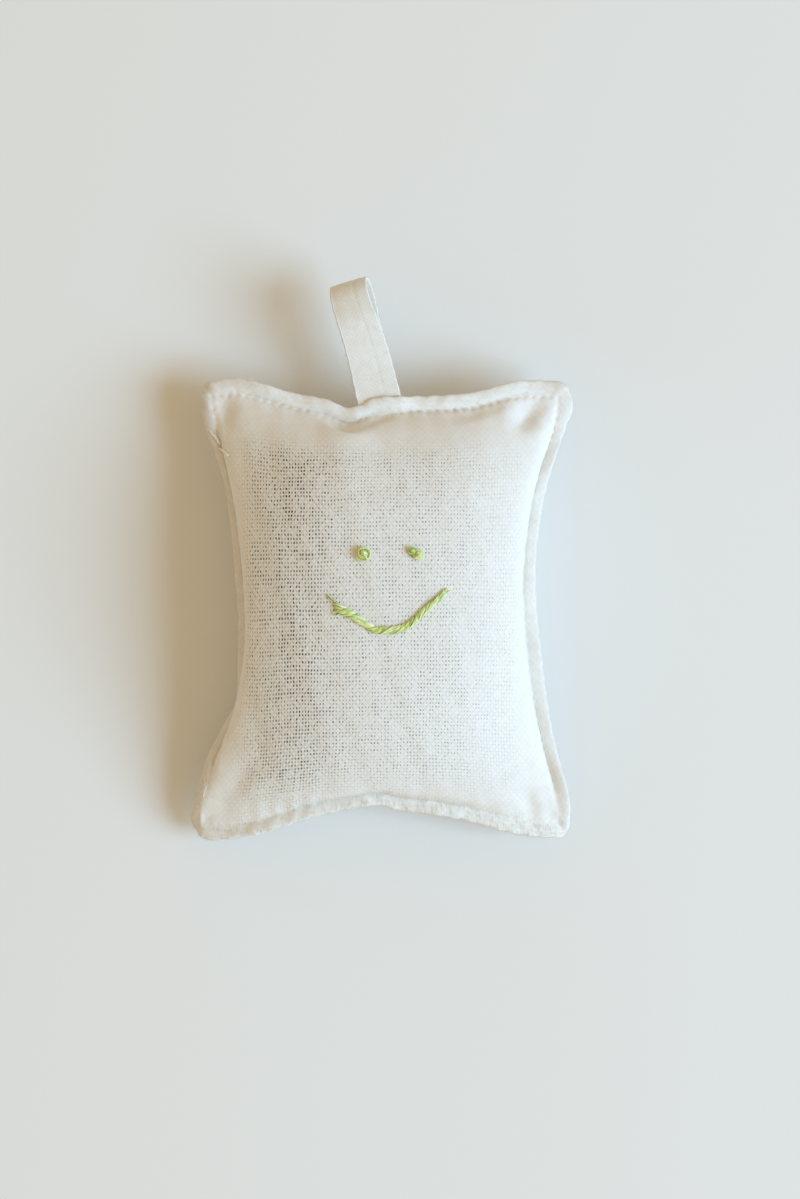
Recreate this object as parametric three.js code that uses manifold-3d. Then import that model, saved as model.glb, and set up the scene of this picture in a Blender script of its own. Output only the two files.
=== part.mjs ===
// Lavender sachet: a stuffed linen pillow with a smile in stem stitch and a loop to hang it by.
// Millimetres. It lies on its back: +X to the smile's right, +Y to the loop, +Z out of the front.
// The origin is the middle of the flat patch that the back rests on.
import * as THREE from "three";
import { mergeVertices } from "three/addons/utils/BufferGeometryUtils.js";
import Module from "manifold-3d";

const wasm = await Module();
wasm.setup();

// Outline over the outer edge of the seam. Stuffing draws each side in between its corners.
const cornerHalfWidth = 44.6;
const cornerHalfHeight = 55.4;
const sideDrawIn = 9.8;
const topDrawIn = 5.2;
const bottomDrawIn = 9.4;
const lowerLeftFlare = 2.8;
const lowerRightFlare = 1;
const drawInPower = 1.7;
const cornerRoundingShare = 0.02;
const cornerRoundingPower = 7;

// The seam pulls down into a notch beside the loop.
const notchDepth = 2.3;
const notchHalfWidth = 5.6;
const notchFromMiddle = -8.2;
const tuckDepthShare = 0.5;
const tuckLengthShare = 0.13;

// How far each panel swells from the seam, and how far the back flattens where it rests
const frontSwell = 18.7;
const backSwell = 19.9;
const settle = 4.18;
const swellPowerAcross = 1.12;
const swellPowerUp = 1.56;

// The seam hangs at the corners, and more so at the lower end
const cornerDroop = 4.0;
const lowerCornerDroop = 3.0;
const bottomDroop = 2.5;
const bottomDroopPower = 3;

// Linen, folded under along the seam, so that each panel's flange is two layers
const cloth = 0.5;
const sideFlange = 2.5;
const topFlange = 3.5;
const bottomFlange = 3.3;
const seamGap = 0.16;
const flangeThickness = seamGap / 2 + 2 * cloth;
const seamHeight = flangeThickness + backSwell - settle;
const columns = 18;
const rows = 20;
const flangeStepShare = 0.1;

// Filling: wadding in two halves round the dried lavender
const wadClearance = 0.42;
const wadGap = 0.5;
const wadBeside = 15.3;
const wadBelow = 17.7;
const wadBehind = 8.6;
const budsClearance = 0.3;
const budsAround = 20;
const budsDown = 10;

// Machine stitching round the seam, and the loose end that it leaves at the top left corner
const seamThread = 0.42;
const seamThreadClearance = 0.2;
const seamThreadStepShare = 1.5;
const threadSides = 5;
const tailLength = 7.2;
const tailLift = 0.5;
const tailStartDown = 9;
const tailSteps = 8;

// Stranded embroidery cotton. The stitches lean across the line of the smile.
const floss = 0.94;
const flossClearance = 0.2;
const flossSides = 5;
const smileHalfWidth = 13.6;
const smileDepth = 8.9;
const smileBottom = -4.4;
const smilePower = 1.8;
const stitchAdvance = 3.05;
const stitchLength = 4.25;
const stitchLean = 0.78;
const stitchCrown = 0.32;
const stitchSteps = 13;
const stitchRoom = 0.94;
const needleHoleClearance = 0.22;
const needleHoleSides = 6;
const knotTroughSides = 16;

// French knots for the eyes
const eyeHeight = 13.2;
const leftEyeFromMiddle = -5;
const rightEyeFromMiddle = 7.1;
const knotTurns = 2;
const knotCoilRadius = 1.08;
const knotCoilPitch = 1.0;
const knotStepsPerTurn = 9;
const knotTail = 2.6;
const knotLift = 0.16;

// Hanging loop: a strip folded in half, with both ends sewn into the seam
const strip = 0.66;
const stripWidth = 9.6;
const stripGap = 0.16;
const loopLength = 28.2;
const eyeOpening = 6.8;
const loopFromMiddle = -1.9;
const loopClearance = 0.3;
const tailsInside = 5.5;
const loopProfileSteps = 30;
const loopNoseSteps = 4;

const quarterTurn = Math.PI / 2;
const overrun = 0.5;
const weldTolerance = 1e-5;
const slopeStepShare = 1e-3;
const front = 1;
const back = -1;

// Colours and finishes
const linen = { color: 0xf1efe8, roughness: 0.92, metalness: 0 };
const greenFloss = { color: 0xa9c452, roughness: 0.6, metalness: 0 };
const wadding = { color: 0xf6f5f1, roughness: 1, metalness: 0 };
const lavender = { color: 0x7d6f95, roughness: 0.95, metalness: 0 };
const cottonThread = { color: 0xf6f3ea, roughness: 0.7, metalness: 0 };

// A closed mesh as a solid, and a solid as a mesh's geometry
function solid(geometry) {
  const bare = new THREE.BufferGeometry();
  bare.setAttribute("position", geometry.getAttribute("position"));
  if (geometry.index) bare.setIndex(geometry.index);
  const merged = mergeVertices(bare, weldTolerance);
  const mesh = new wasm.Mesh({
    numProp: 3,
    vertProperties: new Float32Array(merged.getAttribute("position").array),
    triVerts: new Uint32Array(merged.index.array),
  });
  return new wasm.Manifold(mesh);
}

function geometryOf(made) {
  const mesh = made.getMesh();
  const geometry = new THREE.BufferGeometry();
  geometry.setAttribute("position", new THREE.BufferAttribute(mesh.vertProperties, 3));
  geometry.setIndex(new THREE.BufferAttribute(mesh.triVerts, 1));
  return geometry;
}

// Outline: how far the stitched line lies from the middle on each side
function drawnIn(corner, drawIn, across) {
  return corner - drawIn * (1 - Math.abs(across) ** drawInPower);
}

function seamHalfWidth(side, v) {
  const flare = (side < 0 ? lowerLeftFlare : lowerRightFlare) * Math.max(0, -v) ** drawInPower;
  return drawnIn(cornerHalfWidth, sideDrawIn, v) + flare - sideFlange;
}

function notchShare(u) {
  const fromNotch = (u * cornerHalfWidth - notchFromMiddle) / notchHalfWidth;
  return Math.exp(-fromNotch * fromNotch);
}

function seamHalfHeight(side, u) {
  if (side < 0) return drawnIn(cornerHalfHeight, bottomDrawIn, u) - bottomFlange;
  return drawnIn(cornerHalfHeight, topDrawIn, u) - notchDepth * notchShare(u) - topFlange;
}

function seamAt(u, v) {
  const low = Math.max(0, -v) ** bottomDroopPower;
  return seamHeight - cornerDroop * u * u * v * v - low * (bottomDroop + lowerCornerDroop * u * u);
}

// A place on the panels by two shares, t across and s up: 0 in the middle, 1 on the stitching,
// and one flange step more on the folded edge. Steps crowd together where the walls are steep.
function place(t, s) {
  const u = Math.sin(quarterTurn * THREE.MathUtils.clamp(t, -1, 1));
  const v = Math.sin(quarterTurn * THREE.MathUtils.clamp(s, -1, 1));
  const overT = Math.max(0, Math.abs(t) - 1) / flangeStepShare;
  const overS = Math.max(0, Math.abs(s) - 1) / flangeStepShare;
  const flangeUpDown = s < 0 ? bottomFlange : topFlange;
  let x = u * seamHalfWidth(t, v) + Math.sign(t) * overT * sideFlange;
  let y = v * seamHalfHeight(s, u) + Math.sign(s) * overS * flangeUpDown;
  const nearCorner = (Math.abs(x) / cornerHalfWidth) * (Math.abs(y) / cornerHalfHeight);
  const rounding = 1 - cornerRoundingShare * nearCorner ** cornerRoundingPower;
  x *= rounding;
  y *= rounding;
  const inside = Math.abs(t) < 1 && Math.abs(s) < 1;
  const roundAcross = inside ? Math.cos(quarterTurn * t) ** swellPowerAcross : 0;
  const roundUp = inside ? Math.cos(quarterTurn * s) ** swellPowerUp : 0;
  const tuck = tuckDepthShare * notchShare(u) * Math.exp((v - 1) / tuckLengthShare);
  return { x, y, seam: seamAt(u, v), hill: roundAcross * roundUp * (1 - tuck) };
}

// Outer face of a panel. The back flattens where it rests.
function outerFace(face, t, s) {
  const at = place(t, s);
  const swell = face === front ? frontSwell : backSwell;
  const z = at.seam + face * (flangeThickness + swell * at.hill);
  return new THREE.Vector3(at.x, at.y, Math.max(0, z));
}

function outward(face, t, s) {
  const ahead = outerFace(face, t + slopeStepShare, s).sub(outerFace(face, t - slopeStepShare, s));
  const aside = outerFace(face, t, s + slopeStepShare).sub(outerFace(face, t, s - slopeStepShare));
  return ahead.cross(aside).multiplyScalar(face).normalize();
}

// Inner face of a panel: the underside of the folded flange, and inside it one layer of linen
function innerFace(face, t, s) {
  const at = place(t, s);
  const flangeUnder = at.seam + (face * seamGap) / 2;
  const most = Math.max(Math.abs(t), Math.abs(s));
  if (most > 1) return new THREE.Vector3(at.x, at.y, flangeUnder);
  if (most === 1) {
    const towardMiddle = new THREE.Vector3(
      Math.abs(t) === 1 ? -Math.sign(t) * cloth : 0,
      Math.abs(s) === 1 ? -Math.sign(s) * cloth : 0,
      0,
    );
    return new THREE.Vector3(at.x, at.y, flangeUnder).add(towardMiddle);
  }
  return outerFace(face, t, s).addScaledVector(outward(face, t, s), -cloth);
}

function stops(count, withFlange) {
  const inside = Array.from({ length: count + 1 }, (_, i) => (2 * i) / count - 1);
  const edge = 1 + flangeStepShare;
  return withFlange ? [-edge, ...inside, edge] : inside;
}

// A closed solid between two faces that are sampled at the same stops
function between(upper, lower, ts, ss) {
  const wide = ts.length;
  const points = [];
  for (const face of [upper, lower]) {
    for (const s of ss) for (const t of ts) points.push(...face(t, s).toArray());
  }
  const top = (i, j) => j * wide + i;
  const bottom = (i, j) => wide * ss.length + j * wide + i;
  const index = [];
  for (let j = 0; j + 1 < ss.length; j += 1) {
    for (let i = 0; i + 1 < wide; i += 1) {
      index.push(top(i, j), top(i + 1, j), top(i + 1, j + 1));
      index.push(top(i, j), top(i + 1, j + 1), top(i, j + 1));
      index.push(bottom(i, j), bottom(i + 1, j + 1), bottom(i + 1, j));
      index.push(bottom(i, j), bottom(i, j + 1), bottom(i + 1, j + 1));
    }
  }
  const rim = [];
  for (let i = 0; i + 1 < wide; i += 1) rim.push([i, 0]);
  for (let j = 0; j + 1 < ss.length; j += 1) rim.push([wide - 1, j]);
  for (let i = wide - 1; i > 0; i -= 1) rim.push([i, ss.length - 1]);
  for (let j = ss.length - 1; j > 0; j -= 1) rim.push([0, j]);
  rim.forEach((here, k) => {
    const next = rim[(k + 1) % rim.length];
    index.push(bottom(...here), bottom(...next), top(...next));
    index.push(bottom(...here), top(...next), top(...here));
  });
  const geometry = new THREE.BufferGeometry();
  geometry.setAttribute("position", new THREE.Float32BufferAttribute(points, 3));
  geometry.setIndex(index);
  return solid(geometry);
}

const panelColumns = stops(columns, true);
const panelRows = stops(rows, true);

// The stops round a place, and where in between it lies
function cell(list, share) {
  const i = THREE.MathUtils.clamp(list.findIndex((stop) => stop > share) - 1, 0, list.length - 2);
  return { low: list[i], high: list[i + 1], part: (share - list[i]) / (list[i + 1] - list[i]) };
}

// A point of the faceted front at x and y, with the way out of the cloth there
function onFront(x, y) {
  let u = 0;
  let v = 0;
  for (let i = 0; i < 8; i += 1) {
    u = x / seamHalfWidth(x, v);
    v = y / seamHalfHeight(y, u);
  }
  const t = Math.asin(u) / quarterTurn;
  const s = Math.asin(v) / quarterTurn;
  const a = cell(panelColumns, t);
  const b = cell(panelRows, s);
  const corner = outerFace(front, a.low, b.low);
  const far = outerFace(front, a.high, b.high);
  const lowerTriangle = a.part > b.part;
  const third = lowerTriangle ? outerFace(front, a.high, b.low) : outerFace(front, a.low, b.high);
  const major = lowerTriangle ? a.part : b.part;
  const minor = lowerTriangle ? b.part : a.part;
  const point = corner
    .multiplyScalar(1 - major)
    .addScaledVector(third, major - minor)
    .addScaledVector(far, minor);
  return { point, out: outward(front, t, s) };
}

// A round thread along a list of points
function strand(points, diameter, steps, sides) {
  const section = new THREE.Shape();
  section.absarc(0, 0, diameter / 2, 0, Math.PI * 2);
  const ring = new THREE.Shape(section.getSpacedPoints(sides).slice(0, sides));
  const path = new THREE.CatmullRomCurve3(points, false, "centripetal");
  return solid(
    new THREE.ExtrudeGeometry(ring, { steps, extrudePath: path, bevelEnabled: false }),
  );
}

function rod(base, direction, radius, length, sides) {
  const geometry = new THREE.CylinderGeometry(radius, radius, length, sides);
  const turn = new THREE.Quaternion().setFromUnitVectors(new THREE.Vector3(0, 1, 0), direction);
  geometry.applyQuaternion(turn).translate(...base.toArray());
  return solid(geometry);
}

// The smile's line, from its left end to its right one
class SmileLine extends THREE.Curve {
  getPoint(share, target = new THREE.Vector3()) {
    const across = 2 * share - 1;
    const rise = smileDepth * Math.abs(across) ** smilePower;
    return target.set(across * smileHalfWidth, smileBottom + rise, 0);
  }
}
const smileLine = new SmileLine();
const smileLength = smileLine.getLength();

// A point of the embroidery: how far along the smile, how far to its upper side, and how high
function onSmile(along, aside, height) {
  const share = THREE.MathUtils.clamp(along / smileLength, 0, 1);
  const point = smileLine.getPointAt(share);
  const tangent = smileLine.getTangentAt(share);
  const { point: base, out } = onFront(point.x - tangent.y * aside, point.y + tangent.x * aside);
  return base.addScaledVector(out, height);
}

const overCloth = floss / 2 + flossClearance;
const underCloth = cloth + floss / 2 + flossClearance;
const stitchCount = Math.round((smileLength - stitchLength) / stitchAdvance) + 1;
const advance = (smileLength - stitchLength) / (stitchCount - 1);

// Stem stitch in one unbroken thread: each stitch comes up below the line, leans across it,
// goes down above it, and runs back under the cloth to where the next one comes up.
function stemStitchPoints() {
  const points = [];
  for (let k = 0; k < stitchCount; k += 1) {
    const start = k * advance;
    const end = start + stitchLength;
    const bend = floss / 2;
    points.push(onSmile(start, -stitchLean, -underCloth));
    points.push(onSmile(start, -stitchLean, -cloth / 2));
    points.push(onSmile(start + bend / 2, -stitchLean, overCloth));
    points.push(onSmile((start + end) / 2, 0, overCloth + stitchCrown));
    points.push(onSmile(end - bend / 2, stitchLean, overCloth));
    points.push(onSmile(end, stitchLean, -cloth / 2));
    points.push(onSmile(end, stitchLean, -underCloth));
  }
  return points;
}

function needleHole(x, y) {
  const { point, out } = onFront(x, y);
  const radius = floss / 2 + needleHoleClearance;
  return rod(point, out, radius, 2 * (cloth + overrun), needleHoleSides);
}

function smileNeedleHoles() {
  const holes = [];
  for (let k = 0; k < stitchCount; k += 1) {
    for (const [along, aside] of [
      [k * advance, -stitchLean],
      [k * advance + stitchLength, stitchLean],
    ]) {
      const base = onSmile(along, aside, 0);
      holes.push(needleHole(base.x, base.y));
    }
  }
  return holes;
}

// French knot: up through the cloth, round its own stem, and down through the middle of the coil
function knotPoints(middleX) {
  const { point: base, out } = onFront(middleX, eyeHeight);
  const right = new THREE.Vector3(1, 0, 0).addScaledVector(out, -out.x).normalize();
  const up = out.clone().cross(right);
  const at = (radius, angle, height) =>
    base
      .clone()
      .addScaledVector(right, radius * Math.cos(angle))
      .addScaledVector(up, radius * Math.sin(angle))
      .addScaledVector(out, height);
  const riseRadius = knotCoilRadius + floss / 2;
  const points = [
    at(riseRadius + knotTail, 0, -underCloth),
    at(riseRadius + floss / 2, 0, -underCloth),
    at(riseRadius, 0, -cloth / 2),
  ];
  const steps = knotTurns * knotStepsPerTurn;
  for (let i = 1; i <= steps; i += 1) {
    const turn = i / knotStepsPerTurn;
    const radius = THREE.MathUtils.lerp(riseRadius, knotCoilRadius, Math.min(1, turn));
    const rise = knotLift + Math.max(0, turn - 1 / 2) * knotCoilPitch;
    points.push(at(radius, turn * Math.PI * 2, overCloth + rise));
  }
  const crest = overCloth + knotLift + (knotTurns - 1 / 2) * knotCoilPitch;
  points.push(at(knotCoilRadius / 2, Math.PI / 4, crest + floss / 4));
  points.push(at(0, 0, crest - floss / 2));
  points.push(at(0, 0, -cloth / 2));
  points.push(at(floss / 2, Math.PI, -underCloth));
  points.push(at(knotTail, Math.PI, -underCloth));
  return { points, holes: [at(riseRadius, 0, 0), at(0, 0, 0)] };
}

// The run of the stitched line round a panel, one thread radius clear of flange and wall
function seamLine(face) {
  const reach = (seamThread / 2 + seamThreadClearance) * Math.SQRT2;
  const inside = (list) => list.filter((stop) => Math.abs(stop) <= 1);
  const acrossStops = inside(panelColumns);
  const upStops = inside(panelRows);
  const line = [
    ...upStops.slice(0, -1).reverse().map((s) => [-1, s]),
    ...acrossStops.slice(1).map((t) => [t, -1]),
    ...upStops.slice(1).map((s) => [1, s]),
    ...acrossStops.slice(1, -1).reverse().map((t) => [t, 1]),
  ];
  return line.map(([t, s]) => {
    const out = new THREE.Vector3(Math.abs(t) === 1 ? t : 0, Math.abs(s) === 1 ? s : 0, face);
    return outerFace(face, t, s).addScaledVector(out, reach / Math.SQRT2);
  });
}

function seamThreadSolid(face) {
  const line = seamLine(face);
  return strand(line, seamThread, Math.round(line.length * seamThreadStepShare), threadSides);
}

// Where the loop leaves the seam: square to the folded edge, which slopes beside the notch
function loopRoot() {
  const edge = 1 + flangeStepShare;
  const edgeAt = (x) => outerFace(front, Math.asin(x / seamHalfWidth(x, 1)) / quarterTurn, edge);
  const left = edgeAt(loopFromMiddle - stripWidth / 2);
  const right = edgeAt(loopFromMiddle + stripWidth / 2);
  const lean = Math.atan2(right.y - left.y, right.x - left.x);
  const middle = left.clone().add(right).multiplyScalar(1 / 2);
  return { x: middle.x, y: middle.y, z: place(0, 1).seam, lean };
}

const noseRadius = strip + stripGap / 2;
const hingeStandoff = noseRadius + loopClearance;
const root = loopRoot();

// Side view of the loop from its hinge, as shares of its length and of half its opening
const loopProfileShares = [
  [0.22, 0.02],
  [0.48, 0.5],
  [0.72, 1],
  [0.91, 0.86],
  [1, 0],
];

function loopProfile() {
  const legMiddle = (strip + stripGap) / 2;
  const reach = loopLength - strip / 2;
  const swell = (eyeOpening + strip) / 2 - legMiddle;
  const side = loopProfileShares.map(
    ([out, open]) => new THREE.Vector2(out * reach, open ? legMiddle + open * swell : 0),
  );
  side[side.length - 1].y = 0;
  const half = [new THREE.Vector2(0, legMiddle), ...side];
  const mirrored = half.slice(0, -1).reverse().map((p) => new THREE.Vector2(p.x, -p.y));
  const line = new THREE.SplineCurve([...half, ...mirrored]);
  const outer = [];
  const inner = [];
  for (let i = 0; i <= loopProfileSteps; i += 1) {
    const share = i / loopProfileSteps;
    const at = line.getPointAt(share);
    const along = line.getTangentAt(share);
    const across = new THREE.Vector2(-along.y, along.x).multiplyScalar(strip / 2);
    outer.push(at.clone().add(across));
    inner.push(at.clone().sub(across));
  }
  return { outer, inner };
}

function loopShape() {
  const { outer, inner } = loopProfile();
  const nose = (sign) =>
    Array.from({ length: loopNoseSteps }, (_, i) => {
      const from = Math.asin(stripGap / 2 / noseRadius);
      const angle = THREE.MathUtils.lerp(from, quarterTurn, i / loopNoseSteps);
      return new THREE.Vector2(-noseRadius * Math.cos(angle), sign * noseRadius * Math.sin(angle));
    });
  return new THREE.Shape([...nose(1), ...outer, ...nose(-1).reverse(), ...inner.reverse()]);
}

// From the loop's own side view, x out of the seam and y up, to where it stands
function seatLoopPiece(geometry) {
  geometry.translate(0, 0, -stripWidth / 2);
  geometry.rotateX(quarterTurn);
  geometry.rotateZ(quarterTurn + root.lean);
  return geometry.translate(
    root.x - Math.sin(root.lean) * hingeStandoff,
    root.y + Math.cos(root.lean) * hingeStandoff,
    root.z,
  );
}

function loopSolid() {
  const options = { depth: stripWidth, bevelEnabled: false, steps: 1 };
  return solid(seatLoopPiece(new THREE.ExtrudeGeometry(loopShape(), options)));
}

// Both ends of the strip, flat in the seam, from inside the stitching to the loop's hinge
function loopTails(clearance, pastEdge) {
  const inner = -(hingeStandoff + topFlange + tailsInside + clearance);
  const outer = pastEdge - hingeStandoff;
  const thick = 2 * (strip + clearance);
  const block = new THREE.BoxGeometry(outer - inner, thick, stripWidth + 2 * clearance);
  block.translate((outer + inner) / 2, 0, stripWidth / 2);
  return solid(seatLoopPiece(block));
}

// Wadding: the panels' inner faces taken in a little, parted at the seam, hollow for the lavender
function wadHalf(face) {
  const keepInside = (list) => list.filter((stop) => Math.abs(stop) < 1);
  const skin = (t, s) => {
    const inward = -(cloth + wadClearance);
    return outerFace(face, t, s).addScaledVector(outward(face, t, s), inward);
  };
  const parting = (t, s) => {
    const point = skin(t, s);
    point.z = place(t, s).seam + (face * wadGap) / 2;
    return point;
  };
  const faces = face === front ? [skin, parting] : [parting, skin];
  return between(...faces, keepInside(panelColumns), keepInside(panelRows));
}

function budsSolid(grow) {
  const halfWidth = seamHalfWidth(1, 0) - wadBeside + grow;
  const halfHeight = seamHalfHeight(-1, 0) - wadBelow + grow;
  const halfDepth = seamHeight - cloth - wadClearance - wadBehind + grow;
  const ball = new THREE.SphereGeometry(1, budsAround, budsDown);
  return solid(ball.scale(halfWidth, halfHeight, halfDepth).translate(0, 0, seamHeight));
}

// Room behind the embroidery, where the stitches press into the wadding
function smileTrough() {
  const deep = 2 * (underCloth + stitchRoom);
  const wide = 2 * (stitchLean + floss + stitchRoom);
  const section = new THREE.Shape([
    new THREE.Vector2(-deep / 2, -wide / 2),
    new THREE.Vector2(deep / 2, -wide / 2),
    new THREE.Vector2(deep / 2, wide / 2),
    new THREE.Vector2(-deep / 2, wide / 2),
  ]);
  const points = [];
  for (let i = 0; i <= stitchSteps; i += 1) {
    points.push(onSmile((smileLength * i) / stitchSteps, 0, 0));
  }
  const along = (from, to) => to.clone().sub(from).setLength(floss);
  points.unshift(points[0].clone().add(along(points[1], points[0])));
  points.push(points.at(-1).clone().add(along(points.at(-2), points.at(-1))));
  const extrudePath = new THREE.CatmullRomCurve3(points);
  return solid(
    new THREE.ExtrudeGeometry(section, { steps: stitchSteps, extrudePath, bevelEnabled: false }),
  );
}

function knotTrough(middleX) {
  const { point, out } = onFront(middleX, eyeHeight);
  const reach = knotCoilRadius + floss * 2 + knotTail;
  return rod(point, out, reach, 2 * (underCloth + stitchRoom), knotTroughSides);
}

// The loose end of the seam thread, lying along the left side below the corner
function tailPoints() {
  const line = seamLine(front);
  const curve = new THREE.CatmullRomCurve3(line, false, "centripetal");
  const length = curve.getLength();
  return Array.from({ length: tailSteps + 1 }, (_, i) => {
    const share = i / tailSteps;
    const point = curve.getPointAt((tailStartDown + tailLength * share) / length);
    const clear = seamThread + seamThreadClearance;
    return point.add(new THREE.Vector3(-clear * share, 0, clear + tailLift * Math.sin(Math.PI * share)));
  });
}

const smilePoints = stemStitchPoints();
const leftKnot = knotPoints(leftEyeFromMiddle);
const rightKnot = knotPoints(rightEyeFromMiddle);
const knotHoles = [...leftKnot.holes, ...rightKnot.holes].map((p) => needleHole(p.x, p.y));
const tailsRoom = loopTails(seamGap, overrun);

const frontPanel = between(
  (t, s) => outerFace(front, t, s),
  (t, s) => innerFace(front, t, s),
  panelColumns,
  panelRows,
)
  .subtract(wasm.Manifold.union([...smileNeedleHoles(), ...knotHoles]))
  .subtract(tailsRoom);
const backPanel = between(
  (t, s) => innerFace(back, t, s),
  (t, s) => outerFace(back, t, s),
  panelColumns,
  panelRows,
).subtract(tailsRoom);

const budsRoom = budsSolid(budsClearance);
const troughs = [smileTrough(), knotTrough(leftEyeFromMiddle), knotTrough(rightEyeFromMiddle)];
const frontWad = wadHalf(front).subtract(budsRoom).subtract(tailsRoom);
const relievedWad = troughs.reduce((wad, trough) => wad.subtract(trough), frontWad);
const backWad = wadHalf(back).subtract(budsRoom).subtract(tailsRoom);

const knotSteps = (knotTurns + 1) * knotStepsPerTurn;
const sachet = new THREE.Group();

function add(name, made, finish) {
  const mesh = new THREE.Mesh(geometryOf(made), new THREE.MeshStandardMaterial(finish));
  mesh.name = name;
  sachet.add(mesh);
}

add("front_panel", frontPanel, linen);
add("back_panel", backPanel, linen);
add("front_wadding", relievedWad, wadding);
add("back_wadding", backWad, wadding);
add("lavender_buds", budsSolid(0), lavender);
add("mouth_floss", strand(smilePoints, floss, stitchCount * stitchSteps, flossSides), greenFloss);
add("left_eye_knot", strand(leftKnot.points, floss, knotSteps, flossSides), greenFloss);
add("right_eye_knot", strand(rightKnot.points, floss, knotSteps, flossSides), greenFloss);
add("front_seam_thread", seamThreadSolid(front), cottonThread);
add("back_seam_thread", seamThreadSolid(back), cottonThread);
add("thread_tail", strand(tailPoints(), seamThread, tailSteps, threadSides), cottonThread);
add("hanging_loop", loopSolid(), linen);
add("loop_tails", loopTails(0, 0), linen);

export default sachet;
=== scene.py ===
# %% [markdown]
# # A lavender sachet
#
# The real object is a small linen pillow, about 90 by 109 mm, stuffed with wadding and dried
# lavender. Two linen panels are sewn together on all four sides with their edges turned in, a
# folded linen tape is caught in the top seam as a hanging loop, and a smile is embroidered on the
# front in green floss.
#
# This lesson dresses a fixed engineering model of it. The model gives the bodies, the hinge of the
# loop and the room that each piece may fill. Everything that shows is made here: the cloth by a
# cloth simulation, stitches, floss and buds by Geometry Nodes, and the finishes by shader nodes.
# %% Load the fixed frame
import math
import bmesh
import bpy
import numpy as np
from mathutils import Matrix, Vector
from mathutils.bvhtree import BVHTree


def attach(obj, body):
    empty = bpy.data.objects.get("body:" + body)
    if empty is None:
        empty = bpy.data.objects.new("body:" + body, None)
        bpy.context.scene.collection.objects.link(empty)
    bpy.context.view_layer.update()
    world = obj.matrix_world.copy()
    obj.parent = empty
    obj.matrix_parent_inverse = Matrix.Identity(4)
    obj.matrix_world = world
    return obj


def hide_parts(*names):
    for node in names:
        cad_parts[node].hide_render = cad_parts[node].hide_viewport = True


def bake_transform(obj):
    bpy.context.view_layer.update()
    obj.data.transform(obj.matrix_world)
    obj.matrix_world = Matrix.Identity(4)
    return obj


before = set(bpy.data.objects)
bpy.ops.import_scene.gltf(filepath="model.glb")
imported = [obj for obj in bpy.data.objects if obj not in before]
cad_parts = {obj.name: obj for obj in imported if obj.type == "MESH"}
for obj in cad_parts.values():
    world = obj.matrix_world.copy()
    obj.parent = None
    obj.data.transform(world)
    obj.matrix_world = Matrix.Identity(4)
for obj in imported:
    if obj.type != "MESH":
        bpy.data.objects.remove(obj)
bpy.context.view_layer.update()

print("nodes", sorted(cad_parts))

# %% [markdown]
# ## Small helpers
#
# Lengths are written in millimetres, because that is how a sewer measures, and turned to metres
# when a mesh is made. Colours are written as sRGB hex values, as a paint chart gives them, and one
# function turns them to the linear values that shaders expect. One more function adds a node with
# its settings and links, so that a material reads as a list of steps.
# %% Colours and nodes
def linear(hex_colour):
    """An sRGB hex value as a linear colour with full alpha."""
    shares = [int(hex_colour[i : i + 2], 16) / 255 for i in (1, 3, 5)]
    return tuple(c / 12.92 if c <= 0.04045 else ((c + 0.055) / 1.055) ** 2.4 for c in shares) + (1.0,)


def add_node(tree, kind, inputs=None, **settings):
    """Adds a node. An input is a number, a colour, a node's output, or a node for its first output."""
    node = tree.nodes.new(kind)
    for key, value in settings.items():
        setattr(node, key, value)
    for key, value in (inputs or {}).items():
        if isinstance(value, bpy.types.Node):
            value = value.outputs[0]
        if isinstance(value, bpy.types.NodeSocket):
            tree.links.new(value, node.inputs[key])
        else:
            node.inputs[key].default_value = value
    return node


print("white linen in linear light", [round(c, 3) for c in linear("#EFEFEC")[:3]])

# %% Meshes and attributes
MM = 0.001


def new_piece(name, points, faces, uv=None, edges=()):
    """A mesh object from points in millimetres. uv holds one pair for each point."""
    mesh = bpy.data.meshes.new(name)
    mesh.from_pydata((np.asarray(points, float) * MM).tolist(), list(edges), faces)
    if uv is not None:
        corner = np.empty(len(mesh.loops), np.int32)
        mesh.loops.foreach_get("vertex_index", corner)
        layer = mesh.uv_layers.new(name="pattern")
        layer.data.foreach_set("uv", np.asarray(uv, np.float32)[corner].ravel())
    mesh.polygons.foreach_set("use_smooth", [True] * len(mesh.polygons))
    mesh.update()
    piece = bpy.data.objects.new(name, mesh)
    bpy.context.scene.collection.objects.link(piece)
    return piece


def paint(piece, name, values):
    """One number for each point, which shaders and node trees read by its name."""
    layer = piece.data.attributes.new(name, "FLOAT", "POINT")
    layer.data.foreach_set("value", np.ascontiguousarray(values, np.float32))


def quads_of(grid):
    """The faces of a grid of point numbers, as lists of four."""
    return np.stack([grid[:-1, :-1], grid[1:, :-1], grid[1:, 1:], grid[:-1, 1:]], -1).reshape(-1, 4)


print("a grid of 2 by 3 squares has", len(quads_of(np.arange(12).reshape(3, 4))), "faces")

# %% Waves and soft steps
def ripple(along, pitch, seed):
    """A smooth uneven wave of about this pitch, from -1 to 1, the same in every run."""
    draw = np.random.default_rng(seed)
    total = 0
    for _ in range(4):
        total = total + np.sin(2 * np.pi * (along / (pitch * draw.uniform(0.75, 1.35)) + draw.random()))
    return total / 3


def smoothstep(low, high, value):
    """0 below low, 1 above high, and a soft step between them."""
    share = np.clip((value - low) / (high - low), 0, 1)
    return share * share * (3 - 2 * share)


print("ripple", np.round(ripple(np.arange(4.0), 2.1, 1), 2), "step", smoothstep(0, 2, 1))

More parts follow.
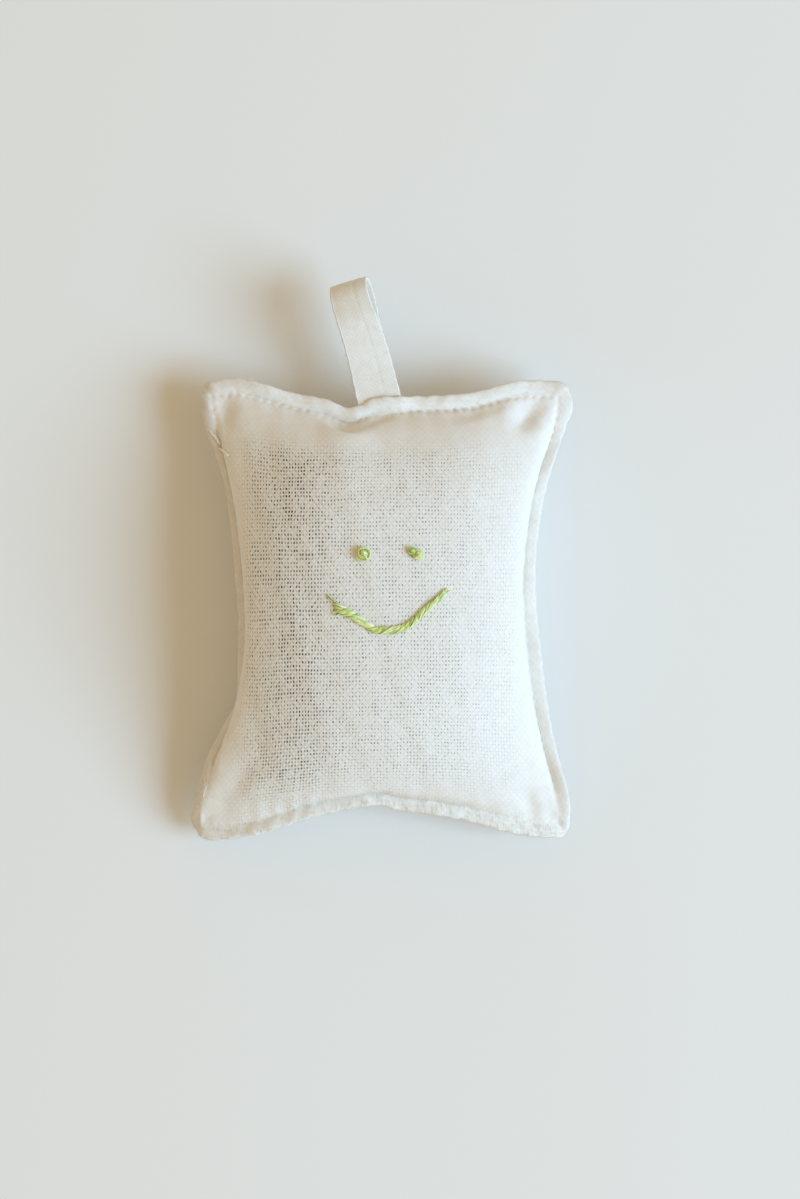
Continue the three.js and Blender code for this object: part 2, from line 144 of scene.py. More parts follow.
# %% [markdown]
# ## Camera, table and light
#
# The photograph looks straight down at the sachet on a white table, from about 60 cm, and the
# table fills the frame. A large window to the right lights it, and warm light from the room fills
# the shade on the left. A camera of a focal length that frames 282 mm at the height of the seam
# gives the same picture. One large area lamp stands for the window and the world's colour stands
# for the room, which is simpler than a room of bounce cards and as soft.
# %% Camera
SEAM_HEIGHT = 16.8          # of the stitching above the table, as in the model
CAMERA_OVER = (3.5, 2.9)    # the point of the table that it looks down at
CAMERA_DISTANCE = 600.0     # above the seam
FRAME_HEIGHT = 281.8        # what the picture's long side takes in at the seam

camera_data = bpy.data.cameras.new("camera")
camera_data.sensor_width = 36
camera_data.lens = camera_data.sensor_width * CAMERA_DISTANCE / FRAME_HEIGHT
camera_data.clip_start = 0.01
camera = bpy.data.objects.new("camera", camera_data)
camera.location = Vector((*CAMERA_OVER, SEAM_HEIGHT + CAMERA_DISTANCE)) * MM
bpy.context.scene.collection.objects.link(camera)
bpy.context.scene.camera = camera
print("lens", round(camera_data.lens, 1), "mm")

# %% Table
FLOOR_HALF = 4000.0         # far enough that a low view still ends on the table
corners = np.array([(-1, -1, 0), (1, -1, 0), (1, 1, 0), (-1, 1, 0)])
floor = new_piece("floor", corners * FLOOR_HALF, [(0, 1, 2, 3)])
table = bpy.data.materials.new("painted_table")
table.use_nodes = True
painted = table.node_tree.nodes["Principled BSDF"]
painted.inputs["Base Color"].default_value = linear("#E9EAE8")
painted.inputs["Roughness"].default_value = 0.75        # matt paint: it shows no reflection
floor.data.materials.append(table)
print("table", 2 * FLOOR_HALF * MM, "m wide")

# %% Window and room
WINDOW_WAY = Vector((0.97, -0.26, 0.75))    # from the sachet: right, a little below, and high
WINDOW_DISTANCE = 2.4                       # in metres, as its sizes are
WINDOW_WATTS = 62.5

window_data = bpy.data.lights.new("window", "AREA")
window_data.shape = "RECTANGLE"
window_data.size = 1.25
window_data.size_y = 1.4
window_data.energy = WINDOW_WATTS
window_data.color = linear("#B5DDFF")[:3]   # daylight, cool beside the warm room
window = bpy.data.objects.new("window", window_data)
window.location = WINDOW_WAY.normalized() * WINDOW_DISTANCE
window.rotation_euler = WINDOW_WAY.to_track_quat("Z", "Y").to_euler()
bpy.context.scene.collection.objects.link(window)

room = bpy.data.worlds.new("room")
room.use_nodes = True
sky = room.node_tree.nodes["Background"]
sky.inputs["Color"].default_value = linear("#C9B391")
sky.inputs["Strength"].default_value = 1.0
bpy.context.scene.world = room
bpy.context.scene.view_settings.view_transform = "Standard"
print("window", window_data.size, "by", window_data.size_y, "m")

# %% [markdown]
# ## The two lines that a sewer sees from above
#
# The stitched line is where the two panels meet. Outside it the seam allowances are turned in and
# stand out as a soft flange of folded cloth, whose folded edge is the sachet's outline. Both lines
# were measured on the photograph and are given here side by side as a few points in millimetres,
# and a Catmull-Rom curve runs through them. The stuffing has drawn every side in between its
# corners, and the top dips in a notch beside the loop.
# %% Stitched line
stitched = {
    "top": [(-41.3, 51.2), (-35.3, 51.7), (-29.4, 50.4), (-22.3, 48.2), (-14.1, 46.4), (-8.2, 44.3),
            (-3.0, 46.4), (3.5, 47.0), (15.3, 47.5), (22.0, 48.4), (28.0, 50.1), (33.0, 51.2), (41.1, 51.0)],
    "right": [(41.2, -50.1), (40.1, -42.0), (36.9, -30.0), (33.9, -15.0), (32.3, 4.0), (32.4, 10.0),
              (34.6, 27.0), (39.8, 43.0), (41.1, 51.0)],
    "bottom": [(-44.2, -51.2), (-35.0, -50.5), (-29.4, -49.4), (-20.0, -46.1), (-12.9, -44.2),
               (-2.1, -42.4), (3.5, -43.6), (12.9, -45.0), (20.0, -46.4), (27.0, -48.5), (34.1, -50.1),
               (41.2, -50.1)],
    "left": [(-44.2, -51.2), (-43.4, -45.0), (-40.2, -34.8), (-35.3, -24.0), (-32.6, -10.0),
             (-32.6, 3.0), (-34.6, 22.0), (-37.6, 35.5), (-40.6, 46.0), (-41.3, 51.2)],
}
print("points of the stitched line", sum(len(side) for side in stitched.values()))

# %% Folded edge
folded = {
    "top": [(-42.9, 53.6), (-40.5, 54.7), (-35.3, 55.2), (-29.4, 53.9), (-22.3, 51.7), (-14.1, 50.0),
            (-8.2, 47.9), (-2.4, 50.2), (3.5, 50.5), (15.3, 51.0), (21.2, 51.7), (27.0, 53.4),
            (31.7, 54.5), (40.5, 54.6), (43.3, 53.5)],
    "right": [(43.0, -53.2), (43.9, -50.5), (43.7, -44.0), (41.1, -34.8), (38.1, -20.7), (35.3, 7.5),
              (37.7, 28.0), (42.5, 43.0), (44.5, 48.5), (43.3, 53.5)],
    "bottom": [(-45.2, -52.8), (-43.6, -54.2), (-40.0, -54.5), (-33.4, -53.3), (-29.4, -52.6),
               (-20.0, -49.4), (-12.9, -47.5), (-2.1, -45.6), (3.5, -47.0), (12.9, -48.1),
               (20.0, -49.6), (27.0, -51.7), (34.1, -53.3), (41.1, -53.9), (43.0, -53.2)],
    "left": [(-45.2, -52.8), (-46.4, -48.4), (-42.3, -34.8), (-37.4, -25.4), (-35.1, -20.7),
             (-34.6, -8.0), (-34.8, 2.8), (-37.2, 26.3), (-40.0, 36.9), (-42.3, 42.8), (-43.6, 51.2),
             (-42.9, 53.6)],
}
print("points of the folded edge", sum(len(side) for side in folded.values()))

# %% Smooth lines and rings
def smooth_line(points, count):
    """Catmull-Rom through the points, as count + 1 points at equal distances."""
    padded = np.array([points[0], *points, points[-1]], float)
    fine = []
    for k in range(1, len(padded) - 2):
        t = np.linspace(0, 1, 24, endpoint=False)[:, None]
        a, b, c, d = padded[k - 1 : k + 3]
        fine.append(0.5 * (2 * b + (c - a) * t + (2 * a - 5 * b + 4 * c - d) * t**2
                           + (3 * b - a - 3 * c + d) * t**3))
    fine = np.vstack([*fine, padded[-1:]])
    run = run_along(fine)
    at = np.linspace(0, run[-1], count + 1)
    return np.column_stack([np.interp(at, run, fine[:, axis]) for axis in range(2)])


def run_along(points):
    """How far along the line each of its points lies."""
    return np.concatenate([[0], np.cumsum(np.linalg.norm(np.diff(points, axis=0), axis=1))])


def ring_order(grid):
    """The rim of a grid, anticlockwise from its lower left corner as seen from the front."""
    n, m = grid.shape[0] - 1, grid.shape[1] - 1
    return np.concatenate([grid[:n, 0], grid[n, :m], grid[n:0:-1, m], grid[0, m:0:-1]])


def ring_of_sides(sides, across, up):
    """The four lines as one ring, in ring_order."""
    bottom, right = smooth_line(sides["bottom"], across), smooth_line(sides["right"], up)
    top, left = smooth_line(sides["top"], across), smooth_line(sides["left"], up)
    return np.concatenate([bottom[:-1], right[:-1], top[:0:-1], left[:0:-1]])


print("round the stitching", round(float(run_along(ring_of_sides(stitched, 50, 60))[-1])), "mm")

# %% [markdown]
# ## Sewing and filling the body
#
# On the real sachet two flat rectangles of linen are sewn together and stuffed. Cloth can't
# stretch, so as the middle rises, the sides are drawn in and soft folds run out of the corners. A
# lofted shape can be drawn by hand, but its folds look drawn. Here the cloth does it: Blender's
# Cloth starts from the flat cut pattern, a shape key draws the stitched rim in to its measured
# line while air pressure fills the body, and the underside settles on the table.
#
# Cloth is tuned for things of about a metre, so the sachet is simulated at ten times its size.
# %% Flat pattern and the height of the seam
PATTERN_WIDTH, PATTERN_HEIGHT = 84.0, 103.0   # flat, between the stitched lines
SIDE_SLACK, END_SLACK = 1.0, 1.5              # how far each edge of the cut bows inwards
CELL = 1.6                                    # side of a simulated square of cloth
CORNER_DROOP, LOWER_CORNER_DROOP, BOTTOM_DROOP = 4.0, 3.0, 2.5   # how far the seam hangs there

across, up = round(PATTERN_WIDTH / CELL), round(PATTERN_HEIGHT / CELL)
u_share, v_share = np.meshgrid(
    np.linspace(-1, 1, across + 1), np.linspace(-1, 1, up + 1), indexing="ij"
)
pattern_xy = np.stack([u_share * (PATTERN_WIDTH / 2 - SIDE_SLACK * (1 - v_share**2)),
                       v_share * (PATTERN_HEIGHT / 2 - END_SLACK * (1 - u_share**2))], -1)


def seam_height(u, v):
    """Height of the seam. The corners hang, and the lower end nearly lies on the table."""
    low = np.maximum(0, -v) ** 3
    return SEAM_HEIGHT - CORNER_DROOP * u**2 * v**2 - low * (BOTTOM_DROOP + LOWER_CORNER_DROOP * u**2)


print("pattern", across, "by", up, "squares, lowest corner", seam_height(1, -1), "mm up")

# %% The bag before and after it is drawn in
def stretched_between(sides, across, up):
    """A grid whose rim runs along the four lines, filled in by a Coons patch."""
    s = np.linspace(0, 1, across + 1)[:, None, None]
    t = np.linspace(0, 1, up + 1)[None, :, None]
    b, top = smooth_line(sides["bottom"], across), smooth_line(sides["top"], across)
    l, r = smooth_line(sides["left"], up), smooth_line(sides["right"], up)
    corners = (1 - s) * (1 - t) * b[0] + s * (1 - t) * b[-1] + (1 - s) * t * top[0] + s * t * top[-1]
    return (1 - t) * b[:, None] + t * top[:, None] + (1 - s) * l[None] + s * r[None] - corners


drawn_xy = stretched_between(stitched, across, up)
seam_z = seam_height(u_share, v_share)
hill = ((1 - u_share**2) * (1 - v_share**2)) ** 0.45    # a soft mound that is 0 at the rim


def bag():
    """Both panels joined at the rim: flat points, drawn-in points, faces, rim, point numbers."""
    flat, drawn, faces, rim = [], [], [], []
    index = -np.ones((2, across + 1, up + 1), int)
    for side in (0, 1):
        for i in range(across + 1):
            for j in range(up + 1):
                edge = i in (0, across) or j in (0, up)
                if edge and side:
                    index[1, i, j] = index[0, i, j]
                    continue
                index[side, i, j] = len(flat)
                start_z = SEAM_HEIGHT + (1, -1)[side] * 4 * hill[i, j]
                flat.append((*pattern_xy[i, j], start_z))
                drawn.append((*drawn_xy[i, j], seam_z[i, j]))
                if edge:
                    rim.append(int(index[side, i, j]))
        faces += quads_of(index[side])[:, :: (1, -1)[side]].tolist()
    return flat, drawn, faces, rim, index


print("bag", len(bag()[0]), "points,", len(bag()[3]), "of them on the rim")

# %% Cloth that air fills
SIM_SCALE = 10
REAL_TO_SIM = SIM_SCALE * MM
SIM_FRAMES, DRAW_FRAMES = 32, 15        # of the whole run, and until the rim is drawn in
CLOTH_SETTINGS = {
    "quality": 8, "mass": 0.3, "tension_stiffness": 30, "compression_stiffness": 20,
    "shear_stiffness": 1, "bending_stiffness": 0.5, "air_damping": 4, "vertex_group_mass": "rim",
    "pin_stiffness": 50, "use_pressure": True, "uniform_pressure_force": 60,
}
TABLE_HALF, TABLE_DROP = 200, -0.6      # half the side and the height of the simulated table


def cloth_body(flat, drawn, faces, rim):
    """The bag as a cloth object whose pinned rim is drawn in to its measured line."""
    body = new_piece("cloth_body", np.array(flat) * SIM_SCALE, faces)
    body.shape_key_add(name="flat")
    key = body.shape_key_add(name="drawn_in")
    key.data.foreach_set("co", (np.array(drawn, np.float32) * REAL_TO_SIM).ravel())
    for frame_number, value in ((1, 0.0), (1 + DRAW_FRAMES, 1.0)):
        key.value = value
        key.keyframe_insert("value", frame=frame_number)
    body.vertex_groups.new(name="rim").add(rim, 1.0, "REPLACE")
    modifier = body.modifiers.new("cloth", "CLOTH")
    for name, value in CLOTH_SETTINGS.items():
        setattr(modifier.settings, name, value)
    modifier.settings.effector_weights.gravity = 0
    modifier.collision_settings.distance_min = 0.002
    modifier.collision_settings.use_self_collision = False
    modifier.point_cache.frame_start, modifier.point_cache.frame_end = 1, SIM_FRAMES
    return body


def hard_table():
    """What the underside settles on."""
    ways = ((-1, -1), (1, -1), (1, 1), (-1, 1))
    corners = np.array([(x * TABLE_HALF, y * TABLE_HALF, TABLE_DROP) for x, y in ways])
    top = new_piece("sim_table", corners * SIM_SCALE, [(0, 1, 2, 3)])
    top.modifiers.new("table", "COLLISION")
    top.collision.thickness_outer = 0.005
    top.collision.cloth_friction = 20
    return top


print("cloth", SIM_FRAMES, "frames, rim drawn in by frame", 1 + DRAW_FRAMES)

# %% Simulate
def simulated_body():
    """Front and back as grids of points in millimetres."""
    flat, drawn, faces, rim, index = bag()
    scene = bpy.context.scene
    body = cloth_body(flat, drawn, faces, rim)
    top = hard_table()
    for frame_number in range(1, SIM_FRAMES + 1):
        scene.frame_set(frame_number)
    settled = bpy.data.meshes.new_from_object(body.evaluated_get(bpy.context.evaluated_depsgraph_get()))
    co = np.empty(len(flat) * 3, np.float32)
    settled.vertices.foreach_get("co", co)
    co = co.reshape(-1, 3).astype(float) / REAL_TO_SIM
    bpy.data.meshes.remove(settled)
    for helper in (body, top):
        bpy.data.objects.remove(helper)
    scene.frame_set(1)
    return [co[index[0]], co[index[1]]]


front_cells, back_cells = simulated_body()
print("crown", round(float(front_cells[..., 2].max()), 2), "low", round(float(back_cells[..., 2].min()), 2))

# %% [markdown]
# ## Packed fibre, not air
#
# The simulation fills the bag with air, and air makes a round dome. Wadding that is pushed in by
# hand packs against the cloth instead: the top is flatter, and the sides stand steeper. A stiffer
# pressure doesn't give that, so each point is raised a little after the simulation, most of all
# half way up the slope, and the crown and the seam stay where they are.
# %% Pack the front
PACKED = 0.35           # 0 leaves the dome, more makes a flatter top with steeper sides


def packed(cells):
    """The front with its slopes filled out."""
    rise = cells[..., 2] - seam_height(u_share, v_share)
    share = (rise / rise.max()).clip(0, 1)
    cells[..., 2] += PACKED * rise * (1 - share)
    return cells


front_cells = packed(front_cells)
print("raised by up to", round(PACKED * float(front_cells[..., 2].max() - SEAM_HEIGHT) / 4, 2), "mm")

# %% [markdown]
# ## From simulated squares to fine cloth
#
# Squares of 1.6 mm hold the folds but not the small things: puckers where the gathered cloth meets
# the stitching, and dimples that a needle leaves every 2 mm. The grid is first calmed by two
# passes of averaging, because a simulation leaves ripples one square wide along the diagonals. A
# Catmull-Rom curve in both directions then makes squares a quarter of the size, and the small
# forms are added along the surface's own normals, as a sculptor would.
# %% Calm and refine a grid
FINER = 4


def calm(grid, passes):
    """Averages each inner point with its neighbours, and leaves the stitched rim alone."""
    grid = grid.copy()
    for _ in range(passes):
        around = (grid[:-2, 1:-1] + grid[2:, 1:-1] + grid[1:-1, :-2] + grid[1:-1, 2:]) / 4
        grid[1:-1, 1:-1] = 0.5 * grid[1:-1, 1:-1] + 0.5 * around
    return grid


def refine(grid, times):
    """Catmull-Rom between the grid's points, along one axis and then the other."""
    t = (np.arange(times) / times)[None, :, None, None]
    for axis in (0, 1):
        g = np.moveaxis(grid, axis, 0)
        g = np.concatenate([2 * g[:1] - g[1:2], g, 2 * g[-1:] - g[-2:-1]])
        a, b, c, d = (x[:, None] for x in (g[:-3], g[1:-2], g[2:-1], g[3:]))
        fine = 0.5 * (2 * b + (c - a) * t + (2 * a - 5 * b + 4 * c - d) * t**2
                      + (3 * b - a - 3 * c + d) * t**3)
        fine = fine.reshape(-1, *fine.shape[2:])
        grid = np.moveaxis(np.concatenate([fine, g[-2:-1]]), 0, axis)
    return grid


def normals_of(grid, facing):
    """The way out of the cloth at each point. facing is 1 for the front and -1 for the back."""
    n = np.cross(np.gradient(grid, axis=0), np.gradient(grid, axis=1)) * facing
    return n / np.linalg.norm(n, axis=-1, keepdims=True)


pattern = refine(pattern_xy, FINER)          # where each fine point lies on the flat cloth
fine_across, fine_up = pattern.shape[0] - 1, pattern.shape[1] - 1
print("fine grid", pattern.shape[:2], "square", round(PATTERN_WIDTH / fine_across, 2), "mm")

# %% How far each point is from the stitching
u_fine, v_fine = np.meshgrid(
    np.linspace(-1, 1, fine_across + 1), np.linspace(-1, 1, fine_up + 1), indexing="ij"
)
from_side = (1 - np.abs(u_fine)) * PATTERN_WIDTH / 2
from_end = (1 - np.abs(v_fine)) * PATTERN_HEIGHT / 2
from_rim = np.minimum(from_side, from_end)
print("farthest from the stitching", round(float(from_rim.max()), 1), "mm")

# %% Gathers and needle dimples
# Gathers at the rim: pitch, depth and how far they reach into the cloth, all in millimetres
GATHERS = {"bottom": (4.4, 0.22, 3.4), "top": (4.6, 0.22, 3.0), "side": (5.4, 0.18, 3.2)}
NEEDLE_PITCH, NEEDLE_DEPTH = 2.1, 0.26
DIMPLE_FROM_RIM, DIMPLE_REACH = 0.35, 0.45      # where a needle's dimple lies, and how wide it is


def gathered(face):
    """Height of the puckers along the normal, over the fine grid."""
    x, y = pattern[..., 0], pattern[..., 1]
    height = np.zeros_like(x)
    for name, along, near, here in (
        ("bottom", x, from_end, v_fine < 0), ("top", x, from_end, v_fine > 0), ("side", y, from_side, True)
    ):
        pitch, depth, reach = GATHERS[name]
        fade = np.exp(-near / reach) * (1 - np.exp(-near / 0.5))
        seed = 11 + 7 * face + len(name)
        height += np.where(here, depth * ripple(along, pitch, seed) * fade, 0)
    needle = 0
    for along, near in ((x, from_end), (y, from_side)):
        close = np.exp(-((near - DIMPLE_FROM_RIM) / DIMPLE_REACH) ** 2)
        needle = np.maximum(np.cos(2 * np.pi * along / NEEDLE_PITCH) * close, needle)
    pulled = 0.3 + 0.7 * smoothstep(0.8, 0.95, v_fine)       # the top seam is sewn tighter
    return height - NEEDLE_DEPTH * pulled * needle


print("puckers", np.round([gathered(0).min(), gathered(0).max()], 2), "mm")

# %% Hollows
# Soft hollows that the photograph shows on the front: place, radii, turn in degrees, depth
HOLLOWS = [
    (-11.2, 44.5, 4.0, 1.2, -23, 1.5),
    (-8.2, 43.9, 3.4, 1.3, 0, 1.5),
    (-2.5, 45.2, 4.4, 1.2, 22, 1.4),
    (21.0, 46.6, 6.0, 1.4, 14, 0.5),
    (33.6, 46.8, 4.2, 2.8, 60, 2.1),
    (-38.6, 46.6, 3.0, 5.0, -24, 1.2),
    (33.8, -45.6, 2.4, 4.6, 18, 0.8),
    (-34.5, -40.0, 2.6, 7.5, -38, 0.5),
]


def hollows(grid):
    """How deep the cloth is pressed in at each point. The stitched rim stays where it is."""
    depth = np.zeros(grid.shape[:2])
    for x, y, long, short, turn, deep in HOLLOWS:
        c, s = math.cos(math.radians(turn)), math.sin(math.radians(turn))
        dx, dy = grid[..., 0] - x, grid[..., 1] - y
        depth += deep * np.exp(-(((c * dx + s * dy) / long) ** 2) - ((-s * dx + c * dy) / short) ** 2)
    return depth * (1 - np.exp(-from_rim / 0.8))


print("hollows", len(HOLLOWS))

# %% Keep the cloth inside the stitched line
EASE = 0.7               # how softly the cloth turns up from the stitched line


def inside_seam(grid):
    """Draws in what bulges past the stitched line, as seen from the front, and leaves the rim."""
    rim = ring_order(grid)
    n, m = grid.shape[0] - 1, grid.shape[1] - 1
    ends = {"bottom": rim[: n + 1], "right": rim[n : n + m + 1],
            "top": rim[n + m : 2 * n + m + 1][::-1], "left": np.vstack([rim[:1], rim[2 * n + m :][::-1]])}
    hold = 1 - np.exp(-((from_rim / 1.6) ** 2))
    for name, axis, sign in (("left", 0, 1), ("right", 0, -1), ("bottom", 1, 1), ("top", 1, -1)):
        side = ends[name][np.argsort(ends[name][:, 1 - axis])]
        limit = np.interp(grid[..., 1 - axis], side[:, 1 - axis], side[:, axis])
        inset = sign * (grid[..., axis] - limit)
        softened = EASE * np.logaddexp(0, inset / EASE)
        grid[..., axis] += sign * (softened - inset) * hold
    return grid


print("the cloth turns up over", EASE, "mm")

# %% Both fine faces
UNEVEN = 0.10            # height of the lumps that hand-pushed wadding leaves
ABOVE_TABLE = 0.02       # the lowest cloth rests this far above the table


def fine_face(cells, face):
    """The simulated face as a fine grid, with its small forms. face is 0 for the front."""
    grid = refine(calm(cells, 2), FINER)
    uneven = UNEVEN * ripple(pattern[..., 0] + 0.3 * pattern[..., 1], 9.0, 31 + face)
    uneven = uneven + UNEVEN * ripple(pattern[..., 1] - 0.2 * pattern[..., 0], 12.0, 41 + face)
    lift = gathered(face) + uneven * (1 - np.exp(-from_rim / 4))
    if face == 0:
        lift = lift - hollows(grid)
    grid = grid + normals_of(grid, (1, -1)[face]) * lift[..., None]
    return inside_seam(grid)


front_fine = fine_face(front_cells, 0)
back_fine = fine_face(back_cells, 1)
back_fine[..., 2] = np.maximum(back_fine[..., 2], ABOVE_TABLE)
print("front", round(float(front_fine[..., 2].max()), 2), "mm high")

# %% [markdown]
# ## Linen
#
# The cloth is a plain weave of undyed, washed linen: one thread over, one under, in both
# directions. A weaver counts its threads, and so does this material: warp threads stand 0.74 mm
# apart and weft threads 0.90 mm, and both swell and thin along their length, which is what makes
# linen look like linen. Each thread has a round section. Where it passes under another it is a
# little darker, which is painted shade, and where neither thread reaches there is a small hole,
# painted with the shade inside the cloth, deep or shallow by chance. The holes open where the
# filling stretches the cloth and close where it is gathered, and this painted shade is strongest
# to the left of the smile and faintest at the right, which faces the window.
#
# Two more things follow the cloth's form: the side folds are darker and creamier, partly because
# folded layers are creamier and partly as painted shade, most on the left; and short white streaks
# run over the bottom fold, where it is brushed up.
#
# The pattern is read from the cloth's own map in millimetres, so it bends and draws in as the
# cloth does. An image of linen would be quicker, but it would tile.
# %% Find the nearest threads
WARP_PITCH, WEFT_PITCH = 0.74, 0.90
DRIFT, DRIFT_LENGTH = 1.1, 11.11        # the threads wander by this much over such a length


def nearest_threads(tree, flat_map, pitches):
    """The place on a grid that drifts a little, the place counted in threads, the numbers of the
    nearest warp and weft thread, and how far off them the place lies."""
    drift = add_node(tree, "ShaderNodeTexNoise",
                     {"Vector": flat_map, "Scale": 1 / DRIFT_LENGTH, "Detail": 2.0})
    drift = add_node(tree, "ShaderNodeVectorMath", {0: drift.outputs["Color"], 1: (0.5, 0.5, 0.5)},
                     operation="SUBTRACT")
    bent = add_node(tree, "ShaderNodeVectorMath", {0: drift, 1: (DRIFT, DRIFT, 0), 2: flat_map},
                    operation="MULTIPLY_ADD")
    count = add_node(tree, "ShaderNodeVectorMath", {0: bent, 1: (*pitches, 1)}, operation="DIVIDE")
    number = add_node(tree, "ShaderNodeVectorMath", {0: count, 1: (0.5, 0.5, 0.5)}, operation="ADD")
    number = add_node(tree, "ShaderNodeVectorMath", {0: number}, operation="FLOOR")
    off = add_node(tree, "ShaderNodeVectorMath", {0: count, 1: number}, operation="SUBTRACT")
    return bent, count, number, off


print("warp threads in 10 mm", round(10 / WARP_PITCH, 1), "weft threads", round(10 / WEFT_PITCH, 1))

# %% Slubs
EVEN_HALF = 0.46                        # half of an even thread's width, as a share of its pitch
WARP_SLUB, WEFT_SLUB = 8.333, 4.545     # length of a thick place in a thread, in millimetres
SLUB_SWELL = (0.60, 0.16, 0)            # how much warp and weft threads swell there
EVEN_NOISE = (0.46, 0.66, 0.5)          # the noise at which warp and weft threads are even
NEXT_THREAD = 7.31                      # how far apart neighbours lie in the noise, so that they differ


def half_widths(tree, bent, number, open_and_shaded, hole_share):
    """Half of both threads' widths. Each thread swells and thins along its own length."""
    at = add_node(tree, "ShaderNodeSeparateXYZ", {0: bent})
    which = add_node(tree, "ShaderNodeSeparateXYZ", {0: number})
    along_warp = add_node(tree, "ShaderNodeCombineXYZ", {0: which.outputs["X"], 1: at.outputs["Y"], 2: 3.0})
    along_weft = add_node(tree, "ShaderNodeCombineXYZ", {0: at.outputs["X"], 1: which.outputs["Y"], 2: 9.0})
    warp_map = add_node(tree, "ShaderNodeMapping",
                        {"Vector": along_warp, "Scale": (NEXT_THREAD, 1 / WARP_SLUB, 1)})
    weft_map = add_node(tree, "ShaderNodeMapping",
                        {"Vector": along_weft, "Scale": (1 / WEFT_SLUB, NEXT_THREAD, 1)})
    warp_slub = add_node(tree, "ShaderNodeTexNoise", {"Vector": warp_map, "Scale": 1.0, "Detail": 3.0})
    weft_slub = add_node(tree, "ShaderNodeTexNoise", {"Vector": weft_map, "Scale": 1.0, "Detail": 2.0})
    slubs = add_node(tree, "ShaderNodeCombineXYZ", {0: warp_slub, 1: weft_slub, 2: 0.5})
    slim = add_node(tree, "ShaderNodeMath", {0: open_and_shaded, 1: -hole_share, 2: EVEN_HALF},
                    operation="MULTIPLY_ADD")
    swell = add_node(tree, "ShaderNodeVectorMath", {0: slubs, 1: EVEN_NOISE}, operation="SUBTRACT")
    return add_node(tree, "ShaderNodeVectorMath", {0: swell, 1: SLUB_SWELL, 2: slim},
                    operation="MULTIPLY_ADD")


print("an even thread fills", 2 * EVEN_HALF, "of its pitch")

# %% Holes
HOLE_SHADE_COLOUR = "#3F3B33"                 # painted shade: the dark inside the cloth, seen through a hole
HOLE_STARTS, HOLE_FULL = 0.28, -0.1     # heights of the threads' round sections, 1 at their middle
SHALLOW, DEEP = 0.10, 0.92              # share of that colour in the lightest and the darkest hole


def weave_holes(tree, count, off, half, open_and_shaded):
    """Where a hole's painted shade goes: 1 where neither thread's round section reaches, and no two holes
    alike.
    """
    ratio = add_node(tree, "ShaderNodeVectorMath", {0: off, 1: half}, operation="DIVIDE")
    square = add_node(tree, "ShaderNodeVectorMath", {0: ratio, 1: ratio}, operation="MULTIPLY")
    section = add_node(tree, "ShaderNodeVectorMath", {0: (1, 1, 1), 1: square}, operation="SUBTRACT")
    sections = add_node(tree, "ShaderNodeSeparateXYZ", {0: section})
    covered = add_node(tree, "ShaderNodeMath", {0: sections.outputs["X"], 1: sections.outputs["Y"]},
                       operation="MAXIMUM")
    hole = add_node(tree, "ShaderNodeMapRange", {0: covered, 1: HOLE_FULL, 2: HOLE_STARTS, 3: 1.0, 4: 0.0})
    cell = add_node(tree, "ShaderNodeVectorMath", {0: count}, operation="FLOOR")
    chance = add_node(tree, "ShaderNodeTexWhiteNoise", {"Vector": cell})
    deep = add_node(tree, "ShaderNodeMapRange", {0: chance, 3: SHALLOW, 4: DEEP})
    hole = add_node(tree, "ShaderNodeMath", {0: hole, 1: deep}, operation="MULTIPLY")
    return add_node(tree, "ShaderNodeMath", {0: hole, 1: open_and_shaded}, operation="MULTIPLY", use_clamp=True)


print("a hole's colour", [round(c, 3) for c in linear(HOLE_SHADE_COLOUR)[:3]])

# %% Tone of the threads
UNDER_SHADE, FLAT_SHADE = 0.42, 0.14    # painted shade of a thread that passes under, where the cloth is taut and slack
LAYERS_AND_SIDE_SHADE = 0.6      # share of the darker tone on the side folds: folded layers are creamier, and painted shade, most on the left
PATCH, PATCH_SHADE = 2.0, 0.35          # size of a patch of one tone, and the darker share in it at most
STREAK_WIDTH, STREAK_LENGTH = 0.5263, 2.222     # of the brushed streaks
STREAK_DARK, STREAK_LIGHT = 0.65, -0.7          # what they add to the darker share


